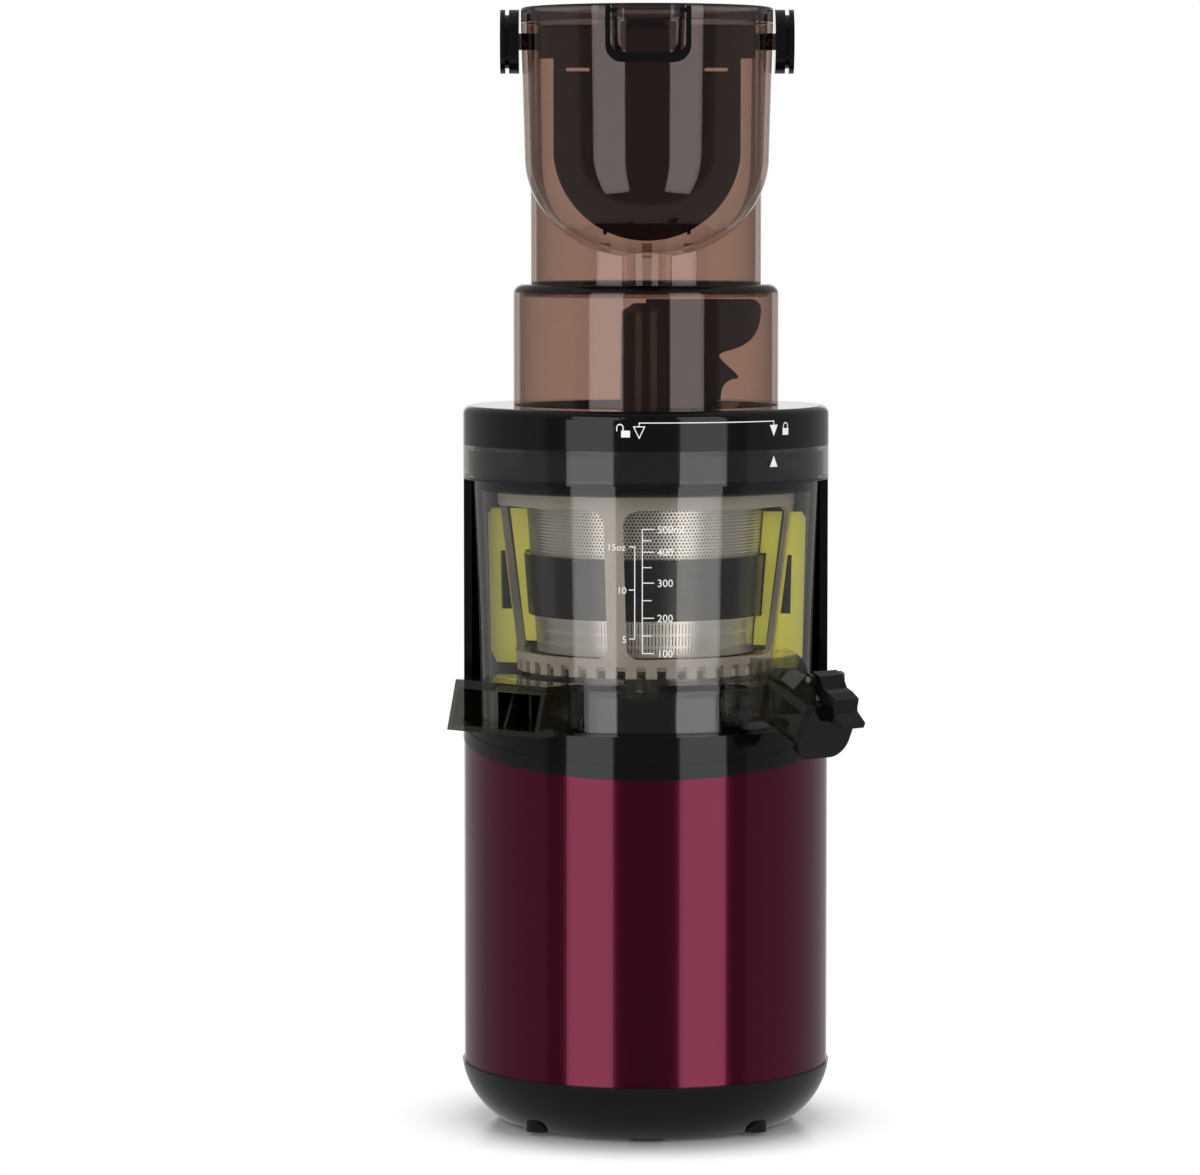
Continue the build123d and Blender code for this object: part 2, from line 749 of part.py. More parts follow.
with BuildPart() as upper_housing:
    sleeve_bottom = rim_height - sleeve_depth
    add(housing_skin(shell_inner - 2 * wall_gap, sleeve_bottom, None))
    add(housing_skin(trim_inner - wall_gap, sleeve_bottom, rim_plane))
    add(housing_skin(base_radius, sleeve_bottom, trim_plane))
    ring(0, backrest_inner - collar_lap / 2, deck_height - deck_thickness, deck_height)
    for angle in bolt_angles:
        post(post_radius, gearbox_top, deck_height - deck_thickness, *at(bolt_circle, angle))
    with BuildSketch(Plane.XY.offset(deck_height)) as platform:
        Circle(platform_radius)
        with Locations(Rot(0, 0, pulp_angle) * Pos(platform_radius, 0)):
            Rectangle(
                2 * (platform_radius - port_inner + pulp_back + pulp_wall), pulp_width + 2 * pulp_wall,
                mode=Mode.SUBTRACT,
            )
    extrude(amount=platform_height)
    with BuildSketch(Plane.XY.offset(deck_height - deck_thickness)):
        offset(platform.sketch, amount=-platform_wall)
    extrude(amount=deck_thickness + platform_height - platform_wall, mode=Mode.SUBTRACT)
    sensor_top = backrest_height - sensor_drop
    sensor_bottom = sensor_top - sensor_height
    sensor_face = base_radius + sensor_proud
    block(
        (-sensor_box_half, backrest_inner + 1, sensor_bottom - 4 * sensor_box_margin),
        (sensor_box_half, sensor_face + sensor_box_margin, backrest_height),
    )
    block(
        (-sensor_half - 2 * wall_gap, sensor_face - sensor_depth - wall_gap, sensor_bottom - wall_gap),
        (sensor_half + 2 * wall_gap, sensor_face + wall_gap, sensor_top), mode=Mode.SUBTRACT,
    )
    post(shaft_seal_radius, deck_height, platform_top + 1, mode=Mode.SUBTRACT)
    for angle in bolt_angles:
        post(bolt_radius + thread_gap, 0, bolt_top + 1, *at(bolt_circle, angle), mode=Mode.SUBTRACT)
    for height in screw_heights:
        with Locations(Plane(origin=(0, 0, height), z_dir=(0, 1, 0))):
            bore(screw_radius + pin_gap, through)
            bore(screw_head + 2 * pin_gap, base_radius - screw_back + screw_head_height)

with BuildPart() as handle_screws:
    for height in screw_heights:
        with Locations(Plane(origin=(0, base_radius - screw_back, height), z_dir=(0, 1, 0))):
            Cylinder(screw_radius, screw_length, align=(Align.CENTER, Align.CENTER, Align.MIN))
            Cylinder(screw_head, screw_head_height, align=(Align.CENTER, Align.CENTER, Align.MIN))

with BuildPart() as carry_handle:
    handle_middle = (handle_bottom + handle_top) / 2
    grip_back = backrest_inner - grip_lap
    grip_face = handle_reach - grip_depth
    with BuildSketch(Plane.YZ.offset(-handle_half_width)):
        with Locations(((handle_reach + backrest_inner) / 2, handle_middle)):
            RectangleRounded(handle_reach - backrest_inner, handle_height, handle_corner)
        with Locations(((grip_face + grip_back) / 2, handle_middle)):
            RectangleRounded(
                grip_face - grip_back, handle_height - 2 * lug_depth, grip_corner, mode=Mode.SUBTRACT
            )
    extrude(amount=2 * handle_half_width)
    fillet(carry_handle.edges().filter_by(Axis.Z).group_by(Axis.Y)[-1], grip_edge)
    ring(0, base_radius, handle_bottom - 1, handle_top + 1, mode=Mode.SUBTRACT)
    for height in screw_heights:
        with Locations(Plane(origin=(0, base_radius - screw_back, height), z_dir=(0, 1, 0))):
            bore(screw_radius + screw_gap, screw_length + 2 * wall_gap)

with BuildPart() as lid_sensor:
    block((-sensor_half, sensor_face - sensor_depth, sensor_bottom), (sensor_half, sensor_face, sensor_top))

with BuildPart() as cord_gland:
    with Locations(Plane(origin=(0, gland_face + gland_flange, gland_height), z_dir=(0, -1, 0))):
        Cylinder(gland_radius + gland_flange, gland_flange, align=(Align.CENTER, Align.CENTER, Align.MIN))
        Cylinder(gland_radius, gland_length, align=(Align.CENTER, Align.CENTER, Align.MIN))
        Cylinder(cord_bore, 4 * gland_length, mode=Mode.SUBTRACT)

with BuildPart() as switch_housing:
    block(
        (-bezel_half[0], base_radius, switch_height - bezel_half[1]),
        (bezel_half[0], base_radius + bezel_proud, switch_height + bezel_half[1]),
    )
    block(
        (-switch_half[0], base_radius - switch_depth, switch_height - switch_half[1]),
        (switch_half[0], base_radius, switch_height + switch_half[1]),
    )
    rocker_room = rocker_half_height + rocker_swing
    block(
        (-rocker_half_width - rocker_gap, base_radius - rocker_sink, switch_height - rocker_room),
        (rocker_half_width + rocker_gap, base_radius + 2 * bezel_proud, switch_height + rocker_room),
        mode=Mode.SUBTRACT,
    )
    with Locations(Plane(origin=(0, rocker_pivot, switch_height), z_dir=(1, 0, 0))):
        Cylinder(rocker_pin + pin_gap, 2 * rocker_half_width + 5, mode=Mode.SUBTRACT)

with BuildPart() as rocker_switch:
    with BuildSketch(Plane.YZ.offset(-rocker_half_width)):
        with BuildLine():
            Polyline(
                (rocker_pivot - rocker_back, switch_height - rocker_half_height),
                (rocker_pivot + rocker_front, switch_height - rocker_half_height),
                (rocker_pivot + rocker_waist, switch_height),
                (rocker_pivot + rocker_front, switch_height + rocker_half_height),
                (rocker_pivot - rocker_back, switch_height + rocker_half_height),
                close=True,
            )
        make_face()
    extrude(amount=2 * rocker_half_width)
    with Locations(Plane(origin=(0, rocker_pivot, switch_height), z_dir=(1, 0, 0))):
        Cylinder(rocker_pin, 2 * rocker_half_width + 4)

with BuildPart() as tie_bolts:
    for angle in bolt_angles:
        post(bolt_radius, cover_floor_top, bolt_top, *at(bolt_circle, angle))
        post(bolt_head, cover_floor_top, cover_floor_top + bolt_head_height, *at(bolt_circle, angle))

with BuildPart() as circuit_board:
    board_half = [side / 2 for side in board_size]
    block((-board_half[0], -board_half[1], board_bottom), (board_half[0], board_half[1], board_top))
    for low, size in ((relay_low, relay_size), (plug_low, plug_size)):
        block((*low, board_top), (low[0] + size[0], low[1] + size[1], board_top + size[2]))

with BuildPart() as capacitor:
    post(capacitor_radius, board_top, board_top + capacitor_height, *capacitor_place)

# ================================================================ motor
with BuildPart() as motor_case:
    ring(case_inner, motor_radius, motor_bottom + end_plate, motor_top)
    ring(bearing_radius, motor_radius, motor_top - end_plate, motor_top)

with BuildPart() as motor_end_cover:
    bearing_seat = motor_bottom + end_plate
    ring(bearing_radius, motor_radius, motor_bottom, bearing_seat)
    ring(bearing_radius, bearing_radius + bearing_wall, bearing_seat, bearing_seat + bearing_wall)
    with BuildSketch(Plane.XY.offset(motor_bottom)):
        with PolarLocations((bearing_radius + case_inner + 2) / 2, vent_count):
            Circle(vent_radius)
    extrude(amount=end_plate, mode=Mode.SUBTRACT)

with BuildPart() as stator_core:
    ring(stator_inner, case_inner, stator_bottom, stator_top)

with BuildPart() as stator_windings:
    winding = (stator_inner + winding_inset, case_inner - winding_inset)
    ring(*winding, stator_bottom - winding_height, stator_bottom)
    ring(*winding, stator_top, stator_top + winding_height)

with BuildPart() as motor_bearings:
    ring(rotor_shaft_radius + pin_gap / 2, bearing_radius, motor_bottom, motor_bottom + bearing_height)
    ring(rotor_shaft_radius + pin_gap / 2, bearing_radius, motor_top - bearing_height, motor_top)

with BuildPart() as rotor_shaft:
    post(rotor_shaft_radius, rotor_shaft_bottom, planet_top)

with BuildPart() as rotor_core:
    ring(rotor_shaft_radius, rotor_radius, stator_bottom - rotor_overhang, stator_top + rotor_overhang)

with BuildPart() as motor_fan:
    fan_bottom = rotor_shaft_bottom + fan_lift
    ring(rotor_shaft_radius, fan_hub, fan_bottom, fan_bottom + fan_height)
    ring(rotor_shaft_radius, fan_radius, fan_bottom, fan_bottom + fan_plate)
    with BuildSketch(Plane.XY.offset(fan_bottom)):
        with PolarLocations((fan_radius + fan_hub - 3) / 2, fan_blades):
            Rectangle(fan_radius - fan_hub + 1, fan_plate, rotation=fan_pitch)
    extrude(amount=fan_height)

drive_pinion = spur_gear(box_module, pinion_teeth, planet_bottom, planet_top, rotor_shaft_radius)

# ================================================================ gearbox
box_distance = box_module * (pinion_teeth + planet_teeth) / 2

with BuildPart() as gearbox_housing:
    ring(box_module * pinion_teeth, gearbox_radius, gearbox_bottom, gearbox_bottom + gearbox_floor)
    ring(ring_outer, gearbox_radius, gearbox_bottom, gearbox_top)
    ring(ring_outer, gearbox_flange_radius, flange_under, gearbox_top)
    for angle in bolt_angles:
        post(bolt_radius + pin_gap, 0, gearbox_top + 1, *at(bolt_circle, angle), mode=Mode.SUBTRACT)

with BuildPart() as ring_gear:
    ring(0, ring_outer, gearbox_bottom + gearbox_floor, planet_top + ring_gear_margin)
    with BuildSketch(Plane.XY.offset(gearbox_bottom)):
        ring_pitch = box_module * ring_teeth / 2
        add(tooth_space(box_module, ring_teeth, ring_pitch + dedendum_share * box_module, planet_angles[0]))
    extrude(amount=gearbox_depth, mode=Mode.SUBTRACT)

planets = []
for angle in planet_angles:
    planets.append(
        spur_gear(
            box_module, planet_teeth, planet_bottom, planet_top, planet_pin + pin_gap,
            angle + 180 / planet_teeth, at(box_distance, angle),
        )
    )

with BuildPart() as planet_carrier:
    carrier_bottom = planet_top + carrier_gap
    ring(shaft_radius, carrier_radius, carrier_bottom, carrier_bottom + carrier_thickness)
    for angle in planet_angles:
        post(planet_pin, planet_bottom, carrier_bottom + carrier_gap, *at(box_distance, angle))

with BuildPart() as drive_shaft:
    post(shaft_radius, carrier_bottom, shaft_round_top)
    with BuildSketch(Plane.XY.offset(shaft_round_top)):
        RegularPolygon(hex_across / 2, 6, major_radius=False)
    extrude(amount=shaft_top - shaft_round_top)
    chamfer(drive_shaft.edges().group_by(Axis.Z)[-1], 1.0)

with BuildPart() as gearbox_cover:
    ring(output_bearing_radius, ring_outer, gearbox_top - output_bearing_height, gearbox_top)

with BuildPart() as output_bearing:
    ring(
        shaft_radius + pin_gap / 2, output_bearing_radius, gearbox_top - output_bearing_height, gearbox_top
    )

with BuildPart() as shaft_seal:
    seal_bottom = platform_top - shaft_seal_height
    ring(shaft_radius + seal_gap, shaft_seal_radius, seal_bottom, platform_top)
    ring(shaft_radius + seal_gap, shaft_seal_radius + platform_wall, seal_bottom, seal_bottom + seal_flange)

# ================================================================ bowl
juice_tilt = radians(juice_slope)
juice_out = Vector(
    cos(radians(juice_angle)) * cos(juice_tilt), sin(radians(juice_angle)) * cos(juice_tilt), -sin(juice_tilt)
)
juice_side = Vector(-sin(radians(juice_angle)), cos(radians(juice_angle)), 0)
juice_start = Vector(*at(juice_root[0], juice_angle), juice_root[1])
juice_tip = juice_start + juice_out * juice_length
tip_plane = Plane(origin=juice_tip, x_dir=juice_side, z_dir=juice_out)
root_plane = Plane(origin=juice_start, x_dir=juice_side, z_dir=juice_out)
knuckle_half_width = ear_offset - ear_width / 2 - rest_gap


def in_tip(x, y, z):
    """A point given sideways, up and outwards from the middle of the juice spout's mouth."""
    return tip_plane.origin + tip_plane.x_dir * x + tip_plane.y_dir * y + tip_plane.z_dir * z


cap_axis = in_tip(0, hinge_lift, hinge_back)
port_middle = (port_inner + port_outer) / 2
port_size = (port_outer - port_inner, port_width)
pulp_inner = port_inner - pulp_back

with BuildPart() as juicing_bowl:
    turn(
        (0, deck_height), (bowl_foot_radius, deck_height), (bowl_floor_radius, bowl_floor),
        (bowl_middle_radius, bowl_middle), (bowl_shoulder_radius, bowl_shoulder),
        (bowl_shoulder_radius, flange_top - flange_wall),
        (flange_radius - flange_wall, flange_top - flange_wall),
        (flange_radius - flange_wall, flange_bottom), (flange_radius, flange_bottom),
        (flange_radius, flange_top),
        (rim_tube_radius, flange_top), (rim_tube_radius, rim_tube_top), (0, rim_tube_top),
    )
    with BuildSketch(root_plane.offset(-6)):
        RectangleRounded(juice_width, juice_height, juice_corner)
    extrude(amount=juice_length + 6)
    with BuildSketch(upright(juice_angle, juice_start).offset(-juice_width / 2 - bowl_wall)):
        with Locations(juice_nose_place):
            Circle(juice_nose)
    extrude(amount=juice_width + 2 * bowl_wall)
    with BuildSketch(upright(pulp_angle).offset(-pulp_width / 2)):
        with BuildLine():
            Polyline(
                (pulp_inner, pulp_bottom), (pulp_reach, pulp_bottom), (pulp_reach - pulp_slant, pulp_top),
                (pulp_inner, pulp_top), close=True,
            )
        make_face()
    extrude(amount=pulp_width)
    turn(
        (0, bowl_floor), (inner_floor, bowl_floor), (inner_middle, bowl_middle),
        (inner_shoulder, bowl_shoulder), (inner_shoulder, rim_tube_top + 1), (0, rim_tube_top + 1),
        mode=Mode.SUBTRACT,
    )
    with BuildSketch(Plane.XY.offset(deck_height - 1)):
        Circle(bowl_foot_radius - bowl_wall)
        with Locations(Rot(0, 0, pulp_angle) * Pos(pulp_inner + pulp_reach / 2, 0)):
            Rectangle(pulp_reach, pulp_width, mode=Mode.SUBTRACT)
    extrude(amount=floor_under - deck_height + 1, mode=Mode.SUBTRACT)
    post(hub_radius, floor_under - hub_drop, hub_top)
    post(hub_bore, deck_height, hub_top + 1, mode=Mode.SUBTRACT)
    for angle in idler_angles:
        post(idler_post, bowl_floor, brush_gear_top + idler_post_rise, *at(gear_distance, angle))
    ring(brush_foot_radius - 1 - brush_wall, brush_foot_radius - 1, bowl_floor, brush_gear_bottom - rest_gap)
    with BuildSketch(Plane.XY.offset(bowl_floor)):
        with Locations(Rot(0, 0, pulp_angle) * Pos(port_middle, 0)):
            RectangleRounded(*(side + 2 * port_wall for side in port_size), 2 * port_wall)
    extrude(amount=port_height)
    with BuildSketch(Plane.XY.offset(floor_under - 1)):
        with Locations(Rot(0, 0, pulp_angle) * Pos(port_middle, 0)):
            RectangleRounded(*port_size, port_corner)
    extrude(amount=floor_thickness + port_height + 2, mode=Mode.SUBTRACT)
    with BuildSketch(upright(pulp_angle).offset(-pulp_width / 2 + pulp_wall)):
        with Locations(((port_inner + 2 * pulp_reach) / 2, (pulp_bottom + pulp_wall + floor_under) / 2)):
            Rectangle(2 * pulp_reach - port_inner, floor_under - pulp_bottom - pulp_wall)
    extrude(amount=pulp_width - 2 * pulp_wall, mode=Mode.SUBTRACT)
    with BuildSketch(upright(pulp_angle).offset(-pulp_rib / 2)):
        with BuildLine():
            Polyline(
                (bowl_floor_radius, pulp_bottom + 1), (pulp_reach - pulp_rib_foot, pulp_bottom + 1),
                (pulp_reach - pulp_rib_head, floor_under + 1), (bowl_floor_radius, floor_under + 1),
                close=True,
            )
        make_face()
    extrude(amount=pulp_rib)
    with BuildSketch(root_plane.offset(bowl_wall + 4)):
        RectangleRounded(juice_inside[0], juice_inside[1], juice_corner - juice_wall)
    extrude(amount=juice_length, mode=Mode.SUBTRACT)
    mouth_end = juice_root[0] + juice_mouth_reach
    with BuildSketch(upright(juice_angle).offset(-(juice_width / 2 - juice_wall))):
        with BuildLine():
            Polyline(
                (inner_floor - bowl_wall, bowl_floor), (mouth_end, bowl_floor - juice_mouth_low),
                (mouth_end, bowl_floor + juice_mouth_high),
                (inner_floor - bowl_wall, bowl_floor + juice_mouth_rise), close=True,
            )
        make_face()
    extrude(amount=juice_inside[0], mode=Mode.SUBTRACT)
    for side in (-1, 1):
        ear_plane = Plane(
            origin=in_tip(side * ear_offset, 0, 0), x_dir=tip_plane.z_dir, z_dir=-tip_plane.x_dir
        )
        with BuildSketch(ear_plane.offset(-ear_width / 2)):
            with BuildLine():
                Polyline(
                    (hinge_back - 3 * ear_half, juice_height / 2 - 1), (-rest_gap, juice_height / 2 - 1),
                    (hinge_back + ear_half, hinge_lift), (hinge_back + ear_half / 2, hinge_lift + ear_half),
                    (hinge_back - ear_half / 2, hinge_lift + ear_half), (hinge_back - ear_half, hinge_lift),
                    close=True,
                )
            make_face()
            with Locations((hinge_back, hinge_lift)):
                Circle(cap_pin_radius, mode=Mode.SUBTRACT)
        extrude(amount=ear_width)
    for angle in lug_angles:
        lug_ring(
            rim_tube_radius - lug_root, rim_tube_radius + lug_reach, flange_top + lug_rise, lug_height, angle
        )

with BuildPart() as cap_pin:
    with Locations(Plane(origin=cap_axis, z_dir=juice_side)):
        Cylinder(cap_pin_radius, 2 * ear_offset + ear_width)

with BuildPart() as juice_cap:
    with BuildSketch(tip_plane.offset(rest_gap)):
        RectangleRounded(juice_width + 2 * cap_margin, juice_height + 2 * cap_margin, cap_corner)
    extrude(amount=cap_thickness)
    knuckle_plane = Plane(origin=in_tip(0, 0, 0), x_dir=tip_plane.z_dir, z_dir=-tip_plane.x_dir)
    with BuildSketch(knuckle_plane.offset(-knuckle_half_width)):
        with BuildLine():
            cap_face = rest_gap + cap_thickness
            Polyline(
                (rest_gap, juice_height / 4), (cap_face, juice_height / 4),
                (grip_step, lever_height - lever_thickness), (lever_reach, lever_height - lever_thickness),
                (lever_reach, lever_height), (grip_step + 1.2, lever_height + lever_thickness),
                (grip_step, hinge_lift - 2 * knuckle_half / 3), (cap_face, hinge_lift - knuckle_half / 3),
                (rest_gap, hinge_lift - knuckle_half / 3),
                (hinge_back + knuckle_half, hinge_lift + knuckle_half),
                (hinge_back - knuckle_half / 2, hinge_lift + knuckle_half),
                (hinge_back - knuckle_half, hinge_lift + knuckle_half / 2),
                (hinge_back - knuckle_half, hinge_lift - knuckle_half / 2),
                (hinge_back - knuckle_half / 2, hinge_lift - knuckle_half),
                (rest_gap, juice_height / 2 + cap_margin), close=True,
            )
        make_face()
        with Locations((hinge_back, hinge_lift)):
            Circle(cap_pin_radius + pin_gap, mode=Mode.SUBTRACT)
    extrude(amount=2 * knuckle_half_width)

with BuildPart() as juice_plug:
    with BuildSketch(tip_plane.offset(rest_gap)):
        plug_corner = juice_corner - juice_wall - plug_gap
        RectangleRounded(*(side - 2 * plug_gap for side in juice_inside), plug_corner)
    extrude(amount=-plug_depth, taper=plug_taper)

with BuildPart() as hub_seal:
    ring(shaft_radius + seal_gap, hub_bore, floor_under, bowl_floor)
    ring(hub_bore - 1, hub_bore, bowl_floor, hub_top - 6)

idlers = []
for angle in idler_angles:
    idlers.append(
        spur_gear(
            brush_module, idler_teeth, brush_gear_bottom, brush_gear_top, idler_post + pin_gap,
            angle + 180 / idler_teeth, at(gear_distance, angle),
        )
    )

# ================================================================ strainer


def screen_radius(z):
    """The outside radius of the steel screen at a height."""
    return between(z, (screen_foot_radius, screen_bottom), (screen_head_radius, screen_top))


with BuildPart() as strainer_base:
    ring(strainer_hole, screen_foot_radius + screen_wall, strainer_bottom, screen_bottom)
    with BuildSketch(Plane.XY.offset(strainer_bottom)):
        with Locations(Rot(0, 0, pulp_angle) * Pos(port_middle, 0)):
            RectangleRounded(*port_size, port_corner)
    extrude(amount=strainer_plate, mode=Mode.SUBTRACT)

with BuildPart() as strainer_screen:
    turn(
        (screen_foot_radius, screen_bottom), (screen_head_radius, screen_top),
        (screen_head_radius - screen_wall, screen_top), (screen_foot_radius - screen_wall, screen_bottom),
    )

with BuildPart() as strainer_band:
    turn(
        (screen_radius(band_bottom), band_bottom), (screen_radius(band_bottom) + band_proud, band_bottom),
        (screen_radius(band_top) + band_proud, band_top), (screen_radius(band_top), band_top),
    )

with BuildPart() as strainer_rim:
    rim_inner = screen_head_radius - strainer_rim_lap
    ring(rim_inner, screen_head_radius + strainer_rim_width, screen_top, brush_ring_top)

# ================================================================ brush


def brush_radius(z):
    """The outside radius of the brush frame at a height."""
    return between(z, (brush_foot_radius, brush_gear_top), (brush_ring_radius, brush_ring_bottom))


def wiper_gap_radius(z):
    """The radius that the inner wipers leave free round the screen."""
    return screen_radius(z) + inner_wiper_gap


def tip_radius(z):
    """The outer wipers' tip at a height."""
    return between(z, (outer_wiper_tips[0], outer_wiper_bottom), (outer_wiper_tips[1], wiper_top))


with BuildPart() as brush_frame:
    turn(
        (brush_foot_radius, brush_gear_bottom), (brush_foot_radius, brush_gear_top),
        (brush_ring_radius, brush_ring_bottom), (brush_ring_radius, brush_ring_top),
        (brush_ring_inner, brush_ring_top), (brush_ring_inner, brush_ring_bottom),
        (brush_ring_radius - brush_wall, brush_ring_bottom - 3), (brush_foot_radius - brush_wall, brush_sill),
        (brush_foot_radius - 2 * brush_wall, brush_sill - 1),
        (brush_foot_radius - 2 * brush_wall, brush_gear_bottom),
    )
    with BuildSketch(Plane.XY.offset(brush_gear_bottom)):
        add(tooth_space(brush_module, brush_teeth, brush_foot_radius + 1, idler_angles[0]))
    extrude(amount=brush_gear_top - brush_gear_bottom, mode=Mode.SUBTRACT)
    notch_half = (brush_gear_top + notch_rise - brush_gear_bottom) / 2
    with Locations((0, 0, brush_gear_bottom + notch_half)):
        with PolarLocations(brush_foot_radius, brush_teeth, start_angle=idler_angles[0] + 180 / brush_teeth):
            Box(2 * notch_depth, notch_width, 2 * notch_half, mode=Mode.SUBTRACT)
    sill_half, head_half = (
        brush_radius(z) * sin(radians(45) - asin(bar_width / 2 / brush_radius(z)))
        for z in (brush_sill, brush_ring_bottom)
    )
    for angle in bar_angles:
        outwards = Vector(*at(1, angle + 45), 0)
        facing = Plane(origin=(0, 0, 0), x_dir=Vector(0, 0, 1).cross(outwards), z_dir=outwards)
        with BuildSketch(facing.offset(brush_foot_radius / 2)) as window:
            with BuildLine():
                Polyline(
                    (-sill_half, brush_sill), (sill_half, brush_sill), (head_half, brush_ring_bottom),
                    (-head_half, brush_ring_bottom), close=True,
                )
            make_face()
            fillet(window.vertices(), window_corner)
        extrude(amount=brush_foot_radius, mode=Mode.SUBTRACT)

with BuildPart() as outer_wipers:
    for angle in wiper_angles:
        with BuildSketch(upright(angle).offset(-outer_wiper_thickness / 2)):
            with BuildLine():
                Polyline(
                    (brush_foot_radius - 1, outer_wiper_bottom),
                    (outer_wiper_tips[0] - outer_wiper_chamfer[0], outer_wiper_bottom),
                    (outer_wiper_tips[0], outer_wiper_bottom + outer_wiper_chamfer[1]),
                    (outer_wiper_tips[1], wiper_top - outer_wiper_round[1]),
                    (outer_wiper_tips[1] - outer_wiper_round[0], wiper_top),
                    (brush_radius(wiper_top), wiper_top), close=True,
                )
            make_face()
            with BuildLine():
                Polyline(
                    (brush_radius(slot_bottom) + slot_inset, slot_bottom),
                    (tip_radius(slot_bottom) - slot_outset, slot_bottom),
                    (tip_radius(slot_top) - slot_outset, slot_top),
                    (brush_radius(slot_top) + slot_inset, slot_top), close=True,
                )
            make_face(mode=Mode.SUBTRACT)
        extrude(amount=outer_wiper_thickness)
    turn(
        (0, outer_wiper_bottom - 1), (brush_foot_radius + thread_gap, outer_wiper_bottom - 1),
        (brush_foot_radius + thread_gap, brush_gear_top),
        (brush_radius(wiper_top + 1) + thread_gap, wiper_top + 1), (0, wiper_top + 1), mode=Mode.SUBTRACT,
    )

below = band_bottom - inner_wiper_gap
above = band_top + inner_wiper_gap

with BuildPart() as inner_wipers:
    for angle in wiper_angles:
        with BuildSketch(upright(angle).offset(-inner_wiper_thickness / 2)):
            with BuildLine():
                Polyline(
                    (wiper_gap_radius(wiper_bottom), wiper_bottom), (wiper_gap_radius(below), below),
                    (wiper_gap_radius(below) + band_proud, below),
                    (wiper_gap_radius(above) + band_proud, above),
                    (wiper_gap_radius(above), above), (wiper_gap_radius(wiper_top), wiper_top),
                    (brush_radius(wiper_top) - brush_wall - 1, wiper_top),
                    (brush_radius(wiper_bottom) - brush_wall - 1, wiper_bottom), close=True,
                )
            make_face()
        extrude(amount=inner_wiper_thickness)

# ================================================================ auger


def along(points, z):
    """The radius at a height on a broken line of (radius, height) points."""
    for low, high in zip(points, points[1:]):
        if z <= high[1]:
            return between(z, low, high)
    return points[-1][0]


flight_top = auger_foot + flight_end
flight_rise = flight_top - flight_bottom
flight_steps = round(flight_rise / flight_pitch * 360 / flight_step)
flight_sections = []
for step in range(flight_steps + 1):
    z = flight_bottom + flight_rise * step / flight_steps
    with BuildSketch(upright(360 * (z - flight_top) / flight_pitch)) as flight_section:
        with BuildLine():
            root = max(flight_root, 0.6 * along(auger_core, z))
            tip = along(auger_envelope, z)
            half = flight_thickness / 2
            Polyline((root, z - half), (tip, z - half), (tip, z + half), (root, z + half), close=True)
        make_face()
    flight_sections.append(flight_section.sketch.face())

with BuildPart() as flight:
    loft(flight_sections, ruled=True)

with BuildPart() as cutting_fin:
    with BuildSketch(upright(0).offset(-fin_thickness / 2)):
        with BuildLine():
            edge = [
                (radius, auger_top - depth)
                for radius, depth in (fin_crest, fin_trough, fin_low_crest, fin_low_trough)
            ]
            shoulder = (edge[0][0] - fin_crest[1], auger_top)
            fin_root = (0, auger_top - fin_foot)
            Polyline(edge[-1], fin_root, (0, auger_top), shoulder)
            RadiusArc(shoulder, edge[0], fin_crest[1])
            Spline(*edge, tangents=((0, -1), (0, -1)))
        make_face()
    extrude(amount=fin_thickness)

with BuildPart() as auger:
    core_tip = auger_core[-1][1] + core_tip_rise
    turn((0, auger_core[0][1]), *auger_core, (core_tip_radius / 2, core_tip), (0, core_tip))
    post(auger_hub_radius, brush_gear_top, auger_core[0][1])
    add(flight.part)
    add(cutting_fin.part)
    post(hub_radius + auger_hub_gap, brush_gear_top - 1, hub_top + auger_rest, mode=Mode.SUBTRACT)
    post(sleeve_radius, hub_top, hub_top + auger_rest + sleeve_height, mode=Mode.SUBTRACT)

with BuildPart() as auger_sleeve:
    post(sleeve_radius, hub_top + auger_rest, hub_top + auger_rest + sleeve_height)
    with BuildSketch(Plane.XY.offset(hub_top)):
        RegularPolygon(hex_across / 2 + hex_gap, 6, major_radius=False)
    extrude(amount=sleeve_height + 2, mode=Mode.SUBTRACT)

auger_gear = spur_gear(
    brush_module, sun_teeth, brush_gear_bottom, brush_gear_top, hub_radius + auger_hub_gap, idler_angles[0]
)

# ================================================================ lid
magnet_low = (-magnet_width / 2, flange_radius - magnet_skin - magnet_depth, flange_top + magnet_rise)
magnet_high = (magnet_width / 2, flange_radius - magnet_skin, flange_top + magnet_rise + magnet_height)

with BuildPart() as lid_ring:
    with BuildSketch(Plane.XZ):
        with BuildLine():
            Polyline(
                (flange_radius, lid_top - lid_edge), (flange_radius, flange_top),
                (flange_radius - lid_wall, flange_top), (flange_radius - lid_wall, plate_under),
                (neck_radius, plate_under), (neck_radius, lid_top),
                (flange_radius - lid_edge, lid_top),
            )
            RadiusArc((flange_radius - lid_edge, lid_top), (flange_radius, lid_top - lid_edge), lid_edge)
        make_face()
    revolve(axis=Axis.Z)
    for angle in lug_angles:
        lug_ring(
            rim_tube_radius + lug_root, flange_radius - lid_wall + lug_root, flange_top + lid_lug_rise,
            lid_lug_height, angle,
        )
    block(magnet_low, magnet_high, mode=Mode.SUBTRACT)

with BuildPart() as lid_magnet:
    block(magnet_low, magnet_high)

flange_foot = plate_under - lid_plate
shoulder_foot = neck_top - neck_shoulder

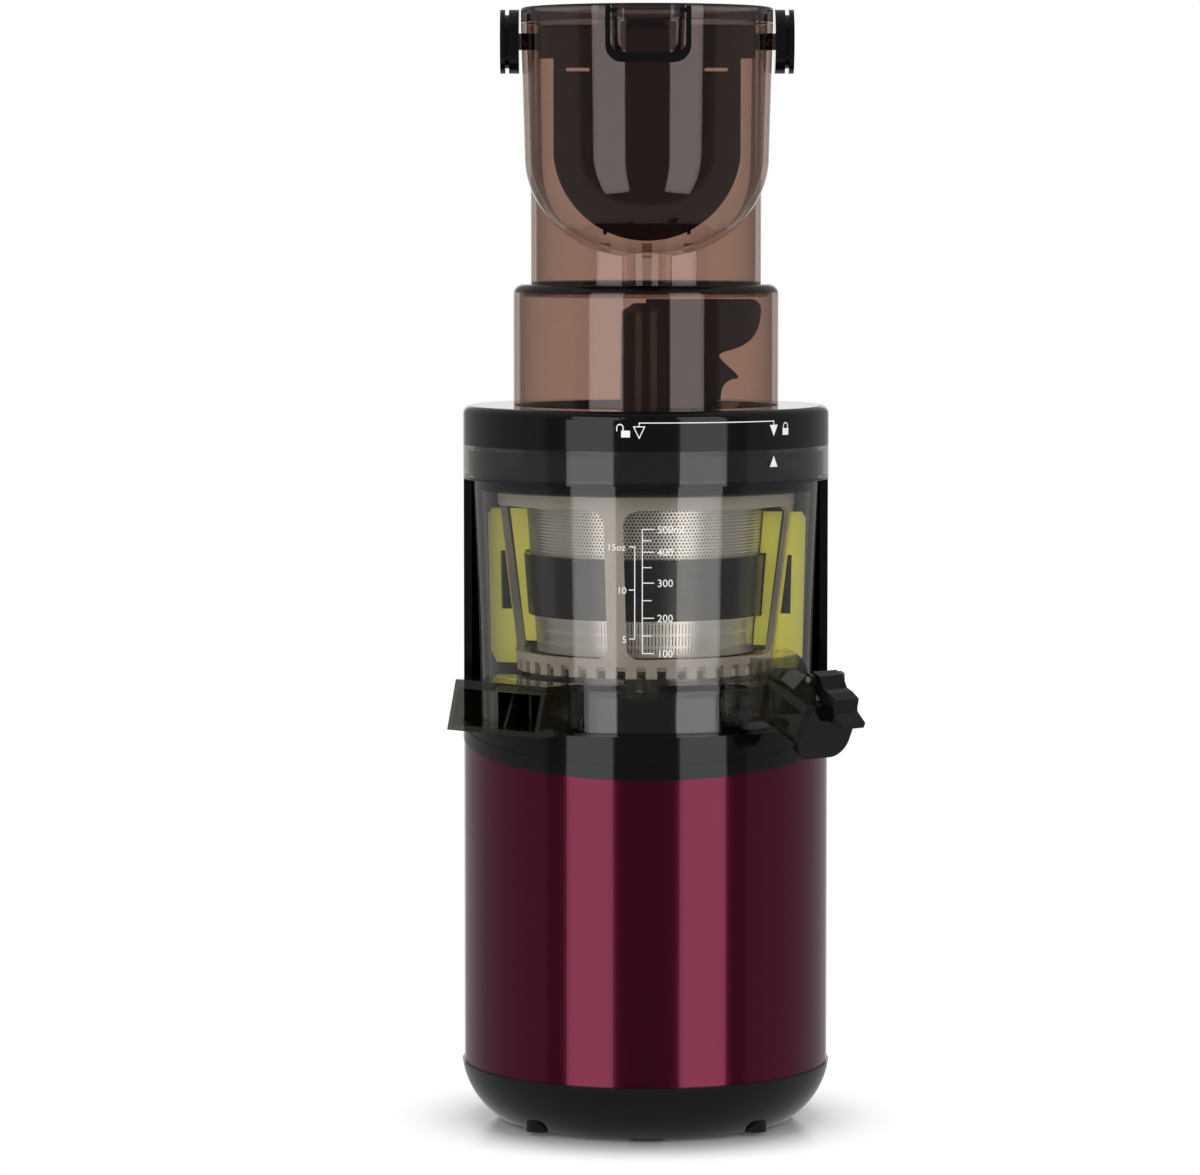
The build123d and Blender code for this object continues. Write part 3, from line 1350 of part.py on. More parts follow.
with BuildPart() as lid_neck:
    with BuildSketch(Plane.XZ):
        with BuildLine():
            Polyline(
                (neck_radius, shoulder_foot), (neck_radius, plate_under), (neck_flange_radius, plate_under),
                (neck_flange_radius, flange_foot), (funnel_radius + neck_wall, flange_foot),
                (funnel_radius + neck_wall, funnel_bottom), (funnel_radius, funnel_bottom),
                (funnel_radius, plate_under - 2 * lid_plate), (neck_inner, plate_under + lid_plate),
                (neck_inner, shoulder_foot), (neck_inner - 2, neck_top - neck_wall),
                (tower_radius + pin_gap, neck_top - neck_wall), (tower_radius + pin_gap, neck_top),
                (neck_radius - neck_shoulder, neck_top),
            )
            RadiusArc((neck_radius - neck_shoulder, neck_top), (neck_radius, shoulder_foot), neck_shoulder)
        make_face()
    revolve(axis=Axis.Z)

with BuildPart() as lid_seal:
    ring(neck_flange_radius - seal_depth, inner_shoulder - seal_lap, flange_foot - seal_depth, flange_foot)

# ================================================================ hopper


def bulge(shrink, top):
    """The front chamber: a slightly flared tube closed by a flattened half ball below."""
    chamber = Plane(origin=(0, bulge_offset, 0), x_dir=(1, 0, 0), z_dir=(0, -1, 0))
    with BuildPart() as body:
        with BuildSketch(chamber):
            with BuildLine():
                EllipticalCenterArc(
                    (0, bulge_centre), bulge_radius - shrink, bulge_drop - shrink, start_angle=270,
                    arc_size=90,
                )
                Polyline(
                    (bulge_radius - shrink, bulge_centre), (bulge_top_radius - shrink, top), (0, top),
                    (0, bulge_bottom + shrink),
                )
            make_face()
        revolve(axis=Axis((0, bulge_offset, 0), (0, 0, 1)))
    return body.part


pivot_across = Plane(origin=(0, bulge_offset, pivot_height), z_dir=(1, 0, 0))

lid_pivot = Plane(origin=(0, lid_pin_offset, hinge_height), z_dir=(1, 0, 0))

with BuildPart() as gate_stops:
    for x in gate_ribs:
        block(
            (x - stop_half_width, bulge_offset - stop_half_depth, bulge_bottom),
            (x + stop_half_width, bulge_offset + stop_half_depth, gate_bottom - stop_gap),
        )
    add(bulge(hopper_wall / 2, hopper_top), mode=Mode.INTERSECT)

with BuildPart() as hopper:
    post(tower_radius, neck_top - tower_lap, hopper_top)
    add(bulge(0, hopper_top))
    post(boss_radius, neck_top, neck_top + boss_height, 0, boss_offset)
    post(tower_radius + tower_lip, neck_top - tower_lap, neck_top - neck_wall - rest_gap)
    block(
        (-catch_half_width, bulge_front - catch_proud, clip_bottom + clip_foot + 1),
        (catch_half_width, bulge_front + 2 * catch_proud, hopper_top - 1),
    )
    for x in (-hinge_ear, hinge_ear):
        block(
            (x - hinge_ear_half, tower_radius - 10, hopper_top - 10),
            (x + hinge_ear_half, lid_pin_offset + lid_pin_radius + 1.5, hinge_height + hinge_wall),
        )
    post(tower_radius - hopper_wall, neck_top - 10, hopper_top + 1, mode=Mode.SUBTRACT)
    add(bulge(hopper_wall, hopper_top + 1), mode=Mode.SUBTRACT)
    post(tower_radius + lid_swing_gap, hopper_top, feed_lid_top + 1, mode=Mode.SUBTRACT)
    add(gate_stops.part)
    with Locations(lid_pivot):
        Cylinder(lid_pin_radius, lid_pin_length, mode=Mode.SUBTRACT)
    with Locations(pivot_across):
        Cylinder(pivot_radius + pin_gap, through, mode=Mode.SUBTRACT)

with BuildPart() as lid_hinge_pin:
    with Locations(lid_pivot):
        Cylinder(lid_pin_radius, lid_pin_length)

with BuildPart() as feed_lid:
    with BuildSketch(Plane.XY.offset(feed_lid_bottom)) as lid_plan:
        Circle(tower_radius)
        with Locations((0, bulge_offset)):
            Circle(bulge_top_radius)
    extrude(amount=feed_lid_height)
    fillet(feed_lid.edges().group_by(Axis.Z)[-1], feed_lid_edge)
    with BuildSketch(Plane.XY.offset(feed_lid_bottom)):
        offset(lid_plan.sketch, amount=-hopper_wall)
    extrude(amount=feed_lid_height - feed_lid_plate, mode=Mode.SUBTRACT)
    for x in (-clip_ear, clip_ear):
        block(
            (x - clip_ear_half, clip_depth - clip_ear_lap, feed_lid_bottom + clip_ear_step),
            (x + clip_ear_half, bulge_front + clip_ear_root, feed_lid_top - clip_ear_step),
        )
    block(
        (-hinge_knuckle_half, tower_radius - hinge_wall, feed_lid_bottom + 1),
        (hinge_knuckle_half, lid_pin_offset + hinge_wall, hinge_height + hinge_wall),
    )
    with Locations(lid_pivot):
        Cylinder(lid_pin_radius + pin_gap, lid_pin_length, mode=Mode.SUBTRACT)
    with Locations(Plane(origin=(0, clip_depth, hinge_height), z_dir=(1, 0, 0))):
        Cylinder(clip_stub + pin_gap, 3 * clip_half_width, mode=Mode.SUBTRACT)

with BuildPart() as latch_clip:
    clip_top = hinge_height + clip_head
    clip_inner = clip_half_width - clip_bar
    with BuildSketch(Plane(origin=(0, clip_depth + clip_bar / 2, 0), x_dir=(1, 0, 0), z_dir=(0, -1, 0))):
        with Locations((0, (clip_bottom + clip_top) / 2)):
            RectangleRounded(2 * clip_half_width, clip_top - clip_bottom, clip_corner)
        with Locations((0, clip_top - clip_corner / 2)):
            Rectangle(2 * clip_half_width, clip_corner)
        with Locations((0, clip_bottom + clip_foot + clip_drop)):
            RectangleRounded(2 * clip_inner, 2 * clip_drop, clip_corner - clip_bar, mode=Mode.SUBTRACT)
    extrude(amount=clip_bar)
    for side in (-1, 1):
        with Locations(Plane(origin=(side * (clip_inner - 1), clip_depth, hinge_height), z_dir=(1, 0, 0))):
            Cylinder(clip_stub, clip_stub_length)

# ================================================================ swing gate
with BuildPart() as swing_gate:
    gate_top = pivot_height + gate_rise
    gate_plane = Plane(origin=(0, bulge_offset + gate_plate / 2, 0), x_dir=(1, 0, 0), z_dir=(0, -1, 0))
    with BuildSketch(gate_plane) as gate_face:
        with BuildLine():
            Polyline(
                (gate_half_width, gate_foot), (gate_half_width, gate_top), (-gate_half_width, gate_top),
                (-gate_half_width, gate_foot),
            )
            ThreePointArc((-gate_half_width, gate_foot), (0, gate_bottom), (gate_half_width, gate_foot))
        make_face()
    extrude(amount=gate_plate)
    with BuildSketch(gate_plane.offset(gate_plate)):
        lip_outline = gate_face.sketch.face().moved(Location((0, -gate_plate, 0)))
        add(lip_outline)
        offset(lip_outline, amount=-gate_lip_wall, mode=Mode.SUBTRACT)
    extrude(amount=gate_lip - gate_plate)
    for x in gate_ribs:
        block(
            (x - gate_rib_half, bulge_offset - gate_plate / 2 - gate_rib_depth, gate_bottom + gate_rib_low),
            (x + gate_rib_half, bulge_offset, gate_bottom + gate_rib_high),
        )
    slot_low = pivot_height - gate_slot_drop
    for x in (-gate_slot_place, gate_slot_place):
        block(
            (x - gate_slot_half, bulge_offset - gate_lip, slot_low),
            (x + gate_slot_half, bulge_offset + gate_lip, slot_low + gate_slot_height), mode=Mode.SUBTRACT,
        )
    for side in (-1, 1):
        stub = Plane(origin=(side * (gate_half_width - 1), bulge_offset, pivot_height), z_dir=(side, 0, 0))
        with Locations(stub):
            Cylinder(
                pivot_radius, cap_outer - cap_skin - gate_half_width + 1,
                align=(Align.CENTER, Align.CENTER, Align.MIN),
            )
            Cylinder(
                pivot_radius + pivot_hub, pivot_hub_length, align=(Align.CENTER, Align.CENTER, Align.MIN)
            )

with BuildPart() as pivot_caps:
    for side in (-1, 1):
        for near, far, radius in (
            (cap_inner, cap_inner + cap_inner_disc, cap_disc_radius),
            (cap_inner, cap_outer, cap_disc_radius - cap_step),
            (cap_outer - cap_outer_disc, cap_outer, cap_disc_radius),
        ):
            with Locations(Plane(origin=(side * near, bulge_offset, pivot_height), z_dir=(side, 0, 0))):
                Cylinder(radius, far - near, align=(Align.CENTER, Align.CENTER, Align.MIN))
    with Locations(pivot_across):
        Cylinder(pivot_radius, 2 * (cap_outer - cap_skin), mode=Mode.SUBTRACT)

# ================================================================ pieces
pieces = {
    "feet": feet, "bottom_cover": bottom_cover, "base_shell": base_shell, "trim_ring": trim_ring,
    "upper_housing": upper_housing, "carry_handle": carry_handle, "handle_screws": handle_screws,
    "tie_bolts": tie_bolts, "cord_gland": cord_gland, "switch_housing": switch_housing,
    "rocker_switch": rocker_switch, "circuit_board": circuit_board, "capacitor": capacitor,
    "lid_sensor": lid_sensor, "motor_case": motor_case, "motor_end_cover": motor_end_cover,
    "stator_core": stator_core, "stator_windings": stator_windings, "motor_bearings": motor_bearings,
    "rotor_shaft": rotor_shaft, "rotor_core": rotor_core, "motor_fan": motor_fan,
    "drive_pinion": drive_pinion, "gearbox_housing": gearbox_housing, "ring_gear": ring_gear,
    "planet_gear_1": planets[0], "planet_gear_2": planets[1], "planet_gear_3": planets[2],
    "planet_carrier": planet_carrier, "drive_shaft": drive_shaft, "gearbox_cover": gearbox_cover,
    "output_bearing": output_bearing, "shaft_seal": shaft_seal, "juicing_bowl": juicing_bowl,
    "hub_seal": hub_seal, "cap_pin": cap_pin, "juice_cap": juice_cap, "juice_plug": juice_plug,
    "idler_gear_1": idlers[0], "idler_gear_2": idlers[1], "strainer_base": strainer_base,
    "strainer_screen": strainer_screen, "strainer_band": strainer_band, "strainer_rim": strainer_rim,
    "brush_frame": brush_frame, "outer_wipers": outer_wipers, "inner_wipers": inner_wipers,
    "auger": auger, "auger_sleeve": auger_sleeve, "auger_gear": auger_gear, "lid_ring": lid_ring,
    "lid_magnet": lid_magnet, "lid_neck": lid_neck, "lid_seal": lid_seal, "hopper": hopper,
    "lid_hinge_pin": lid_hinge_pin, "feed_lid": feed_lid, "latch_clip": latch_clip,
    "swing_gate": swing_gate, "pivot_caps": pivot_caps,
}
for name, piece in pieces.items():
    piece.part.label = name
    export_step(piece.part, f"parts/{name}.step")
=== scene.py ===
"""A cold press juicer: finishes, printed marks and a pale studio."""

import math
from collections import namedtuple

import bmesh
import bpy
from bpy.props import FloatProperty, FloatVectorProperty, PointerProperty
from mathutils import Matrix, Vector


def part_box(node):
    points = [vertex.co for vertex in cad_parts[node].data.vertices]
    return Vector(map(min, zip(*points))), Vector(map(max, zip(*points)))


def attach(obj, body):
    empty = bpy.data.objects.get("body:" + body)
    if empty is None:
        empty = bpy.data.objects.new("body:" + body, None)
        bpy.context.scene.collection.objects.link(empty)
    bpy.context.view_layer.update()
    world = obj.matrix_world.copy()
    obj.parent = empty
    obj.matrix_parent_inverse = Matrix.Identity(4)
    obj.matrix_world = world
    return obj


bl_info = {
    "name": "Cold Press Juicer",
    "version": (1, 0, 0),
    "blender": (4, 5, 0),
    "location": "View3D > Sidebar > Juicer",
    "description": "Finishes, marks and studio for a cold press juicer",
    "category": "Object",
}

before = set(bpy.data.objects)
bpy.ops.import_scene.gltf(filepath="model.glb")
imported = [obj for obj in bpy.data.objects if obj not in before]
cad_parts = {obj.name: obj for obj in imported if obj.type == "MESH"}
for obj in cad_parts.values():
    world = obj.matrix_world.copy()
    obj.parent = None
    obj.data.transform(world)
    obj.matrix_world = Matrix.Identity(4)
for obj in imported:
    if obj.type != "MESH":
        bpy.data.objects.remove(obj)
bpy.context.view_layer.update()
MM = 0.001

# Places of the CAD pieces, in metres: a box is a lowest and a highest corner.
LID_LOW, LID_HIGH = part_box("lid_ring")
SCREEN_LOW, SCREEN_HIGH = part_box("strainer_screen")
BAND_LOW, BAND_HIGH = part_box("strainer_band")
SHELL_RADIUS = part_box("base_shell")[1].x
NECK_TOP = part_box("lid_neck")[1].z
HOPPER_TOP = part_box("hopper")[1].z
FEED_LID_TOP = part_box("feed_lid")[1].z
FLANGE_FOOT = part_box("upper_housing")[1].z
LID_RADIUS = LID_HIGH.x
FRONT = -math.pi / 2

# The bowl's outer wall, as heights and radii: it widens upwards in two stretches.
WALL_FOOT, WALL_BEND, WALL_TOP = (0.220, 0.0818), (0.252, 0.0825), (0.3102, 0.0846)

# Places along the lid's rim, measured round it from the middle of the front.
UNLOCKED_PLACE, LOCKED_PLACE = -4.0 * MM, 66.0 * MM

# Heights of the bowl's levels, in millilitres and in ounces.
ML_HEIGHTS = {100: 0.2358, 200: 0.2526, 300: 0.2693, 400: 0.2840, 500: 0.2948}
OZ_HEIGHTS = {5: 0.2427, 10: 0.2660, 15: 0.2865}

# Painted shade: tones of a dark matt body painted where clear plastic is thick or doubled, standing in for
# the darkening seen through such walls.
RIM_PAINTED_SHADE, CHUTE_PAINTED_SHADE, FLANGE_PAINTED_SHADE = (0.006, 0.005, 0.005), (0.009, 0.008, 0.004), (0.02, 0.018, 0.016)
WHITE = (1.0, 1.0, 1.0)


# ---------------------------------------------------------------- sizes and colours
class JuicerColours(bpy.types.PropertyGroup):
    """Colours of the finishes, as linear values."""

    paint: FloatVectorProperty(
        name="Paint", description="Metallic paint of the base",
        default=(0.100, 0.002, 0.021), subtype="COLOR",
    )
    black: FloatVectorProperty(
        name="Black", description="Gloss black plastic", default=(0.003, 0.003, 0.004), subtype="COLOR",
    )
    smoke: FloatVectorProperty(
        name="Smoke", description="Tint of one surface of the hopper",
        default=(0.87, 0.755, 0.70), subtype="COLOR",
    )
    clear: FloatVectorProperty(
        name="Clear", description="Tint of one surface of the bowl",
        default=(0.97, 0.955, 0.93), subtype="COLOR",
    )
    silicone: FloatVectorProperty(
        name="Silicone", description="Wipers and plug", default=(0.90, 0.90, 0.07), subtype="COLOR",
    )
    frame_grey: FloatVectorProperty(
        name="Brush frame", description="Translucent frame", default=(0.58, 0.53, 0.47), subtype="COLOR",
    )
    print_white: FloatVectorProperty(
        name="Print", description="Printed marks", default=(0.85, 0.86, 0.86), subtype="COLOR",
    )


class JuicerSizes(bpy.types.PropertyGroup):
    """Sizes of the printed marks and the studio."""

    hole_pitch: FloatProperty(
        name="Hole pitch", description="Between the strainer's holes",
        default=1.8 * MM, subtype="DISTANCE",
    )
    mark_line: FloatProperty(
        name="Mark line", description="Width of a printed line", default=0.45 * MM, subtype="DISTANCE",
    )
    print_gap: FloatProperty(
        name="Print gap", description="How far the print stands off its surface",
        default=0.12 * MM, subtype="DISTANCE",
    )
    number_height: FloatProperty(
        name="Number height", description="Height of the millilitre numbers",
        default=3.7 * MM, subtype="DISTANCE",
    )
    camera_distance: FloatProperty(
        name="Camera distance", description="From the drive axis", default=2.44, subtype="DISTANCE",
    )
    camera_height: FloatProperty(
        name="Camera height", description="Above the counter", default=0.444, subtype="DISTANCE",
    )
    camera_aim: FloatProperty(
        name="Aim height", description="Height on the axis that the camera looks at",
        default=0.261, subtype="DISTANCE",
    )
    camera_side: FloatProperty(
        name="Camera side", description="How far left of the axis the camera stands",
        default=0.0224, subtype="DISTANCE",
    )
    lens: FloatProperty(name="Lens", description="Focal length in millimetres", default=150.0)


# ---------------------------------------------------------------- shader maths
class Value:
    """A shader socket that Python arithmetic can be written with."""

    def __init__(self, shader, socket):
        self.shader = shader
        self.socket = socket

    def apply(self, operation, *others):
        """Adds a Math node, such as ARCTAN2 or SQRT, with this value first."""
        return self.shader.node("ShaderNodeMath", {"operation": operation}, self, *others)

    def __add__(self, other):
        return self.apply("ADD", other)

    __radd__ = __add__

    def __sub__(self, other):
        return self.apply("SUBTRACT", other)

    def __rsub__(self, other):
        return self.shader.node("ShaderNodeMath", {"operation": "SUBTRACT"}, other, self)

    def __mul__(self, other):
        return self.apply("MULTIPLY", other)

    __rmul__ = __mul__

    def __truediv__(self, other):
        return self.apply("DIVIDE", other)

    def __pow__(self, other):
        return self.apply("POWER", other)

    def __mod__(self, other):
        return self.apply("FLOORED_MODULO", other)

    def __lt__(self, other):
        return self.apply("LESS_THAN", other)

    def __gt__(self, other):
        return self.apply("GREATER_THAN", other)

    def at_most(self, limit):
        """This value, or the limit where it is larger."""
        return self.apply("MINIMUM", limit)


class Shader:
    """A material's node tree, built by method calls."""

    def __init__(self, name, tree=None):
        if tree is None:
            self.material = bpy.data.materials.new(name)
            self.material.use_nodes = True
            tree = self.material.node_tree
        self.tree = tree
        tree.nodes.clear()

    def node(self, kind, settings=None, *values, out=0, **named):
        """Adds a node: its settings first, then its inputs in order or by name.

        out names or numbers the output that is wanted, or is a tuple of them.
        """
        made = self.tree.nodes.new(kind)
        for key, value in (settings or {}).items():
            setattr(made, key, value)
        for socket, value in zip(made.inputs, values):
            self._feed(socket, value)
        for key, value in named.items():
            self._feed(made.inputs[key.replace("_", " ")], value)
        if isinstance(out, tuple):
            return [Value(self, made.outputs[key]) for key in out]
        return Value(self, made.outputs[out])

    def _feed(self, socket, value):
        if isinstance(value, Value):
            self.tree.links.new(value.socket, socket)
        elif value is not None:
            if socket.type == "RGBA" and len(value) == 3:
                value = (*value, 1.0)
            socket.default_value = value

    def axes(self, source):
        """The x, y and z of a texture coordinate: Object for a point in metres, Generated for a world ray."""
        point = self.node("ShaderNodeTexCoord", out=source)
        return self.node("ShaderNodeSeparateXYZ", None, point, out=(0, 1, 2))

    def off_axis(self):
        """How far the surface point stands from the drive axis, in metres."""
        x, y, z = self.axes("Object")
        return (x * x + y * y).apply("SQRT")

    def rays(self):
        """Whether the eye sees this, directly or through clear plastic, and whether gloss does."""
        kinds = ("Is Camera Ray", "Is Transmission Ray", "Is Glossy Ray")
        seen, passed, mirrored = self.node("ShaderNodeLightPath", out=kinds)
        return (seen + passed).at_most(1.0), mirrored

    def noise(self, scale, detail=2.0, stretch=(1, 1, 1)):
        """Noise that is the same wherever the camera stands."""
        point = self.node("ShaderNodeTexCoord", out="Object")
        moved = self.node("ShaderNodeMapping", None, Vector=point, Scale=stretch)
        return self.node("ShaderNodeTexNoise", None, Vector=moved, Scale=scale, Detail=detail)

    def mix_colour(self, share, low, high):
        """A colour between two, by a share from 0 to 1."""
        numbers_and_vectors = [None] * 5
        return self.node(
            "ShaderNodeMix", {"data_type": "RGBA"}, share, *numbers_and_vectors, low, high, out=2
        )

    def ramp(self, value, low, high):
        """0 below low, 1 above high and smooth between."""
        return self.node(
            "ShaderNodeMapRange", {"interpolation_type": "SMOOTHSTEP"}, value, low, high, 0.0, 1.0
        )

    def bump(self, height, distance, strength=1.0, normal=None):
        """A normal from a height."""
        return self.node(
            "ShaderNodeBump", None, Height=height, Distance=distance, Strength=strength, Normal=normal
        )

    def surface(self, **named):
        """A Principled shader."""
        return self.node("ShaderNodeBsdfPrincipled", None, **named)

    def through(self, tint):
        """A shader that lets light pass with a tint."""
        return self.node("ShaderNodeBsdfTransparent", None, Color=tint)

    def glow(self, strength):
        """A shader that shines white."""
        return self.node("ShaderNodeEmission", None, Color=WHITE, Strength=strength)

    def slant(self, blend):
        """0 where the surface faces the eye, 1 where it turns away."""
        return self.node("ShaderNodeLayerWeight", None, Blend=blend, out="Facing")

    def mix(self, share, first, second):
        """A Mix Shader."""
        return self.node("ShaderNodeMixShader", None, share, first, second)

    def finish(self, shader):
        """Ends the material in its output."""
        self.node("ShaderNodeOutputMaterial", None, shader, out=())
        return self.material


def scaled(colour, share):
    """A colour times a share, kept within 1."""
    return tuple(min(1.0, part * share) for part in colour)


def colours():
    """The scene's colours of the finishes."""
    return bpy.context.scene.juicer_colours


def sizes():
    """The scene's sizes of marks and studio."""
    return bpy.context.scene.juicer_sizes


# ---------------------------------------------------------------- finishes
FINISHES = {}


def burgundy_paint():
    """Metallic paint with fine flakes under a clear coat."""
    shader = Shader("burgundy_paint")
    flakes = shader.noise(2600.0, 1.0)
    drift = shader.noise(9.0, 2.0)
    paint = colours().paint
    colour = shader.mix_colour(flakes * 0.7 + drift * 0.3, scaled(paint, 0.78), scaled(paint, 1.22))
    normal = shader.bump(flakes, 0.02 * MM, 0.25)
    return shader.finish(
        shader.surface(
            Base_Color=colour, Metallic=0.85, Roughness=drift * 0.03 + 0.13, Coat_Weight=0.25,
            Coat_Roughness=0.02, Normal=normal,
        )
    )


def moulded(name, colour, roughness, grain=0.0, grain_scale=900.0, drift=0.1, **extra):
    """Moulded plastic: slow colour drift, a little haze in the gloss, an optional spark grain."""
    shader = Shader(name)
    slow = shader.noise(22.0, 3.0)
    fine = shader.noise(grain_scale, 2.0)
    normal = shader.bump(fine, 0.03 * MM, grain) if grain else shader.bump(slow, 0.2 * MM, 0.02)
    return shader.finish(
        shader.surface(
            Base_Color=shader.mix_colour(slow, scaled(colour, 1 - drift), scaled(colour, 1 + drift)),
            Roughness=slow * 0.05 + (roughness - 0.025), Normal=normal, **extra,
        )
    )


# Painted shade where clear walls are thick or stand one behind another: between two heights and outside a
# radius, a share of the surface is painted as a dark matt body of a given tone, standing in for the darkening
# seen there.
PaintedShadeZone = namedtuple("PaintedShadeZone", "low high radius share tone")


def clear_plastic(name, tint, film, rim, facing, grazing, roughness=0.03, painted_shade_zones=()):
    """Tinted clear plastic: light passes with a tint, under a mirror film that grows with the slant.

    The film's colour runs from film, seen straight on, to rim, and its share from facing to grazing.
    """
    shader = Shader(name)
    slow = shader.noise(14.0, 2.0)
    fine = shader.noise(60.0, 1.0)
    body = shader.through(tint)
    slant = shader.slant(0.5)
    share = (slant ** 4.0) * (grazing - facing) + facing
    colour = shader.mix_colour(slant * slant, shader.mix_colour(slow, scaled(film, 0.9), film), rim)
    painted_shade_share, dark = 0.0, (0.0, 0.0, 0.0)
    # Painted shade: inside each zone a share of the surface turns into a dark matt body.
    for zone in painted_shade_zones:
        z = shader.axes("Object")[2]
        outside = shader.ramp(shader.off_axis(), zone.radius, zone.radius + 2 * MM)
        over = shader.ramp(z, zone.low, zone.low + 1 * MM)
        within = outside * over * (1.0 - shader.ramp(z, zone.high - 1 * MM, zone.high))
        painted_shade_share = within * zone.share + painted_shade_share
        dark = shader.mix_colour(within, dark, zone.tone)
    if painted_shade_zones:
        painted_shade_body = shader.surface(Base_Color=dark, Roughness=0.5, Specular_IOR_Level=0.0)
        body = shader.mix(painted_shade_share.at_most(0.97), body, painted_shade_body)
    gloss = shader.surface(
        Base_Color=colour, Metallic=1.0, Roughness=fine * 0.02 + roughness,
        Normal=shader.bump(slow, 0.4 * MM, 0.05),
    )
    return shader.finish(shader.mix(share, body, gloss))


def milky_plastic(name, tint, body, body_share, edge_share, roughness):
    """Translucent plastic: its own colour over most of the surface, with some light let through."""
    shader = Shader(name)
    slow = shader.noise(14.0, 2.0)
    fine = shader.noise(60.0, 1.0)
    gloss = shader.surface(
        Base_Color=shader.mix_colour(slow, scaled(body, 0.9), body),
        Roughness=fine * 0.02 + roughness, Normal=shader.bump(slow, 0.4 * MM, 0.05),
    )
    share = (shader.slant(0.35) ** 3.0) * (edge_share - body_share) + body_share
    return shader.finish(shader.mix(share, shader.through(tint), gloss))


def brushed(name, colour, roughness, stretch=(1, 1, 40), scale=300.0):
    """Metal with the fine lines of turning or rolling."""
    shader = Shader(name)
    lines = shader.noise(scale, 3.0, stretch)
    return shader.finish(
        shader.surface(
            Base_Color=shader.mix_colour(lines, scaled(colour, 0.85), colour), Metallic=1.0,
            Roughness=lines * 0.12 + (roughness - 0.06), Normal=shader.bump(lines, 0.02 * MM, 0.2),
        )
    )


def perforated_steel():
    """The strainer's sheet: rows of small holes above the band, fine upright slots below it.

    The holes and slots are measured in hole pitches, and neighbouring rows are half a pitch apart.
    """
    hole_radius, slot_half_width, slot_half_height = 0.28, 0.12, 0.4
    row_step, slot_step = 0.866, 3.2
    top_margin, bottom_margin = 1.6 * MM, 2 * MM
    shader = Shader("perforated_steel")
    x, y, z = shader.axes("Object")
    pitch = sizes().hole_pitch
    around = y.apply("ARCTAN2", x) * (SCREEN_HIGH.x / pitch)
    row = z / (pitch * row_step)
    shift = (row.apply("FLOOR") % 2.0) * 0.5
    across = (around + shift) % 1.0 - 0.5
    up = (row % 1.0 - 0.5) * row_step
    hole = (across * across + up * up).apply("SQRT") < hole_radius
    beside = (around % 1.0 - 0.5).apply("ABSOLUTE") < slot_half_width
    along = (z / (pitch * slot_step) % 1.0 - 0.5).apply("ABSOLUTE") < slot_half_height
    above = z > BAND_HIGH.z
    below = z < BAND_LOW.z
    margin = (z < SCREEN_HIGH.z - top_margin) * (z > SCREEN_LOW.z + bottom_margin)
    open_share = (hole * above + beside * along * below) * margin
    lines = shader.noise(90.0, 2.0, (1, 1, 0.05))
    steel = shader.surface(
        Base_Color=shader.mix_colour(lines, (0.70, 0.69, 0.67), (0.80, 0.79, 0.77)), Metallic=0.8,
        Roughness=lines * 0.1 + 0.28,
    )
    return shader.finish(shader.mix(open_share, steel, shader.through(WHITE)))


def print_ink():
    """Flat white screen print."""
    shader = Shader("print_ink")
    speck = shader.noise(700.0, 2.0)
    white = tuple(colours().print_white)
    return shader.finish(
        shader.surface(Base_Color=shader.mix_colour(speck, scaled(white, 0.93), white), Roughness=0.45)
    )


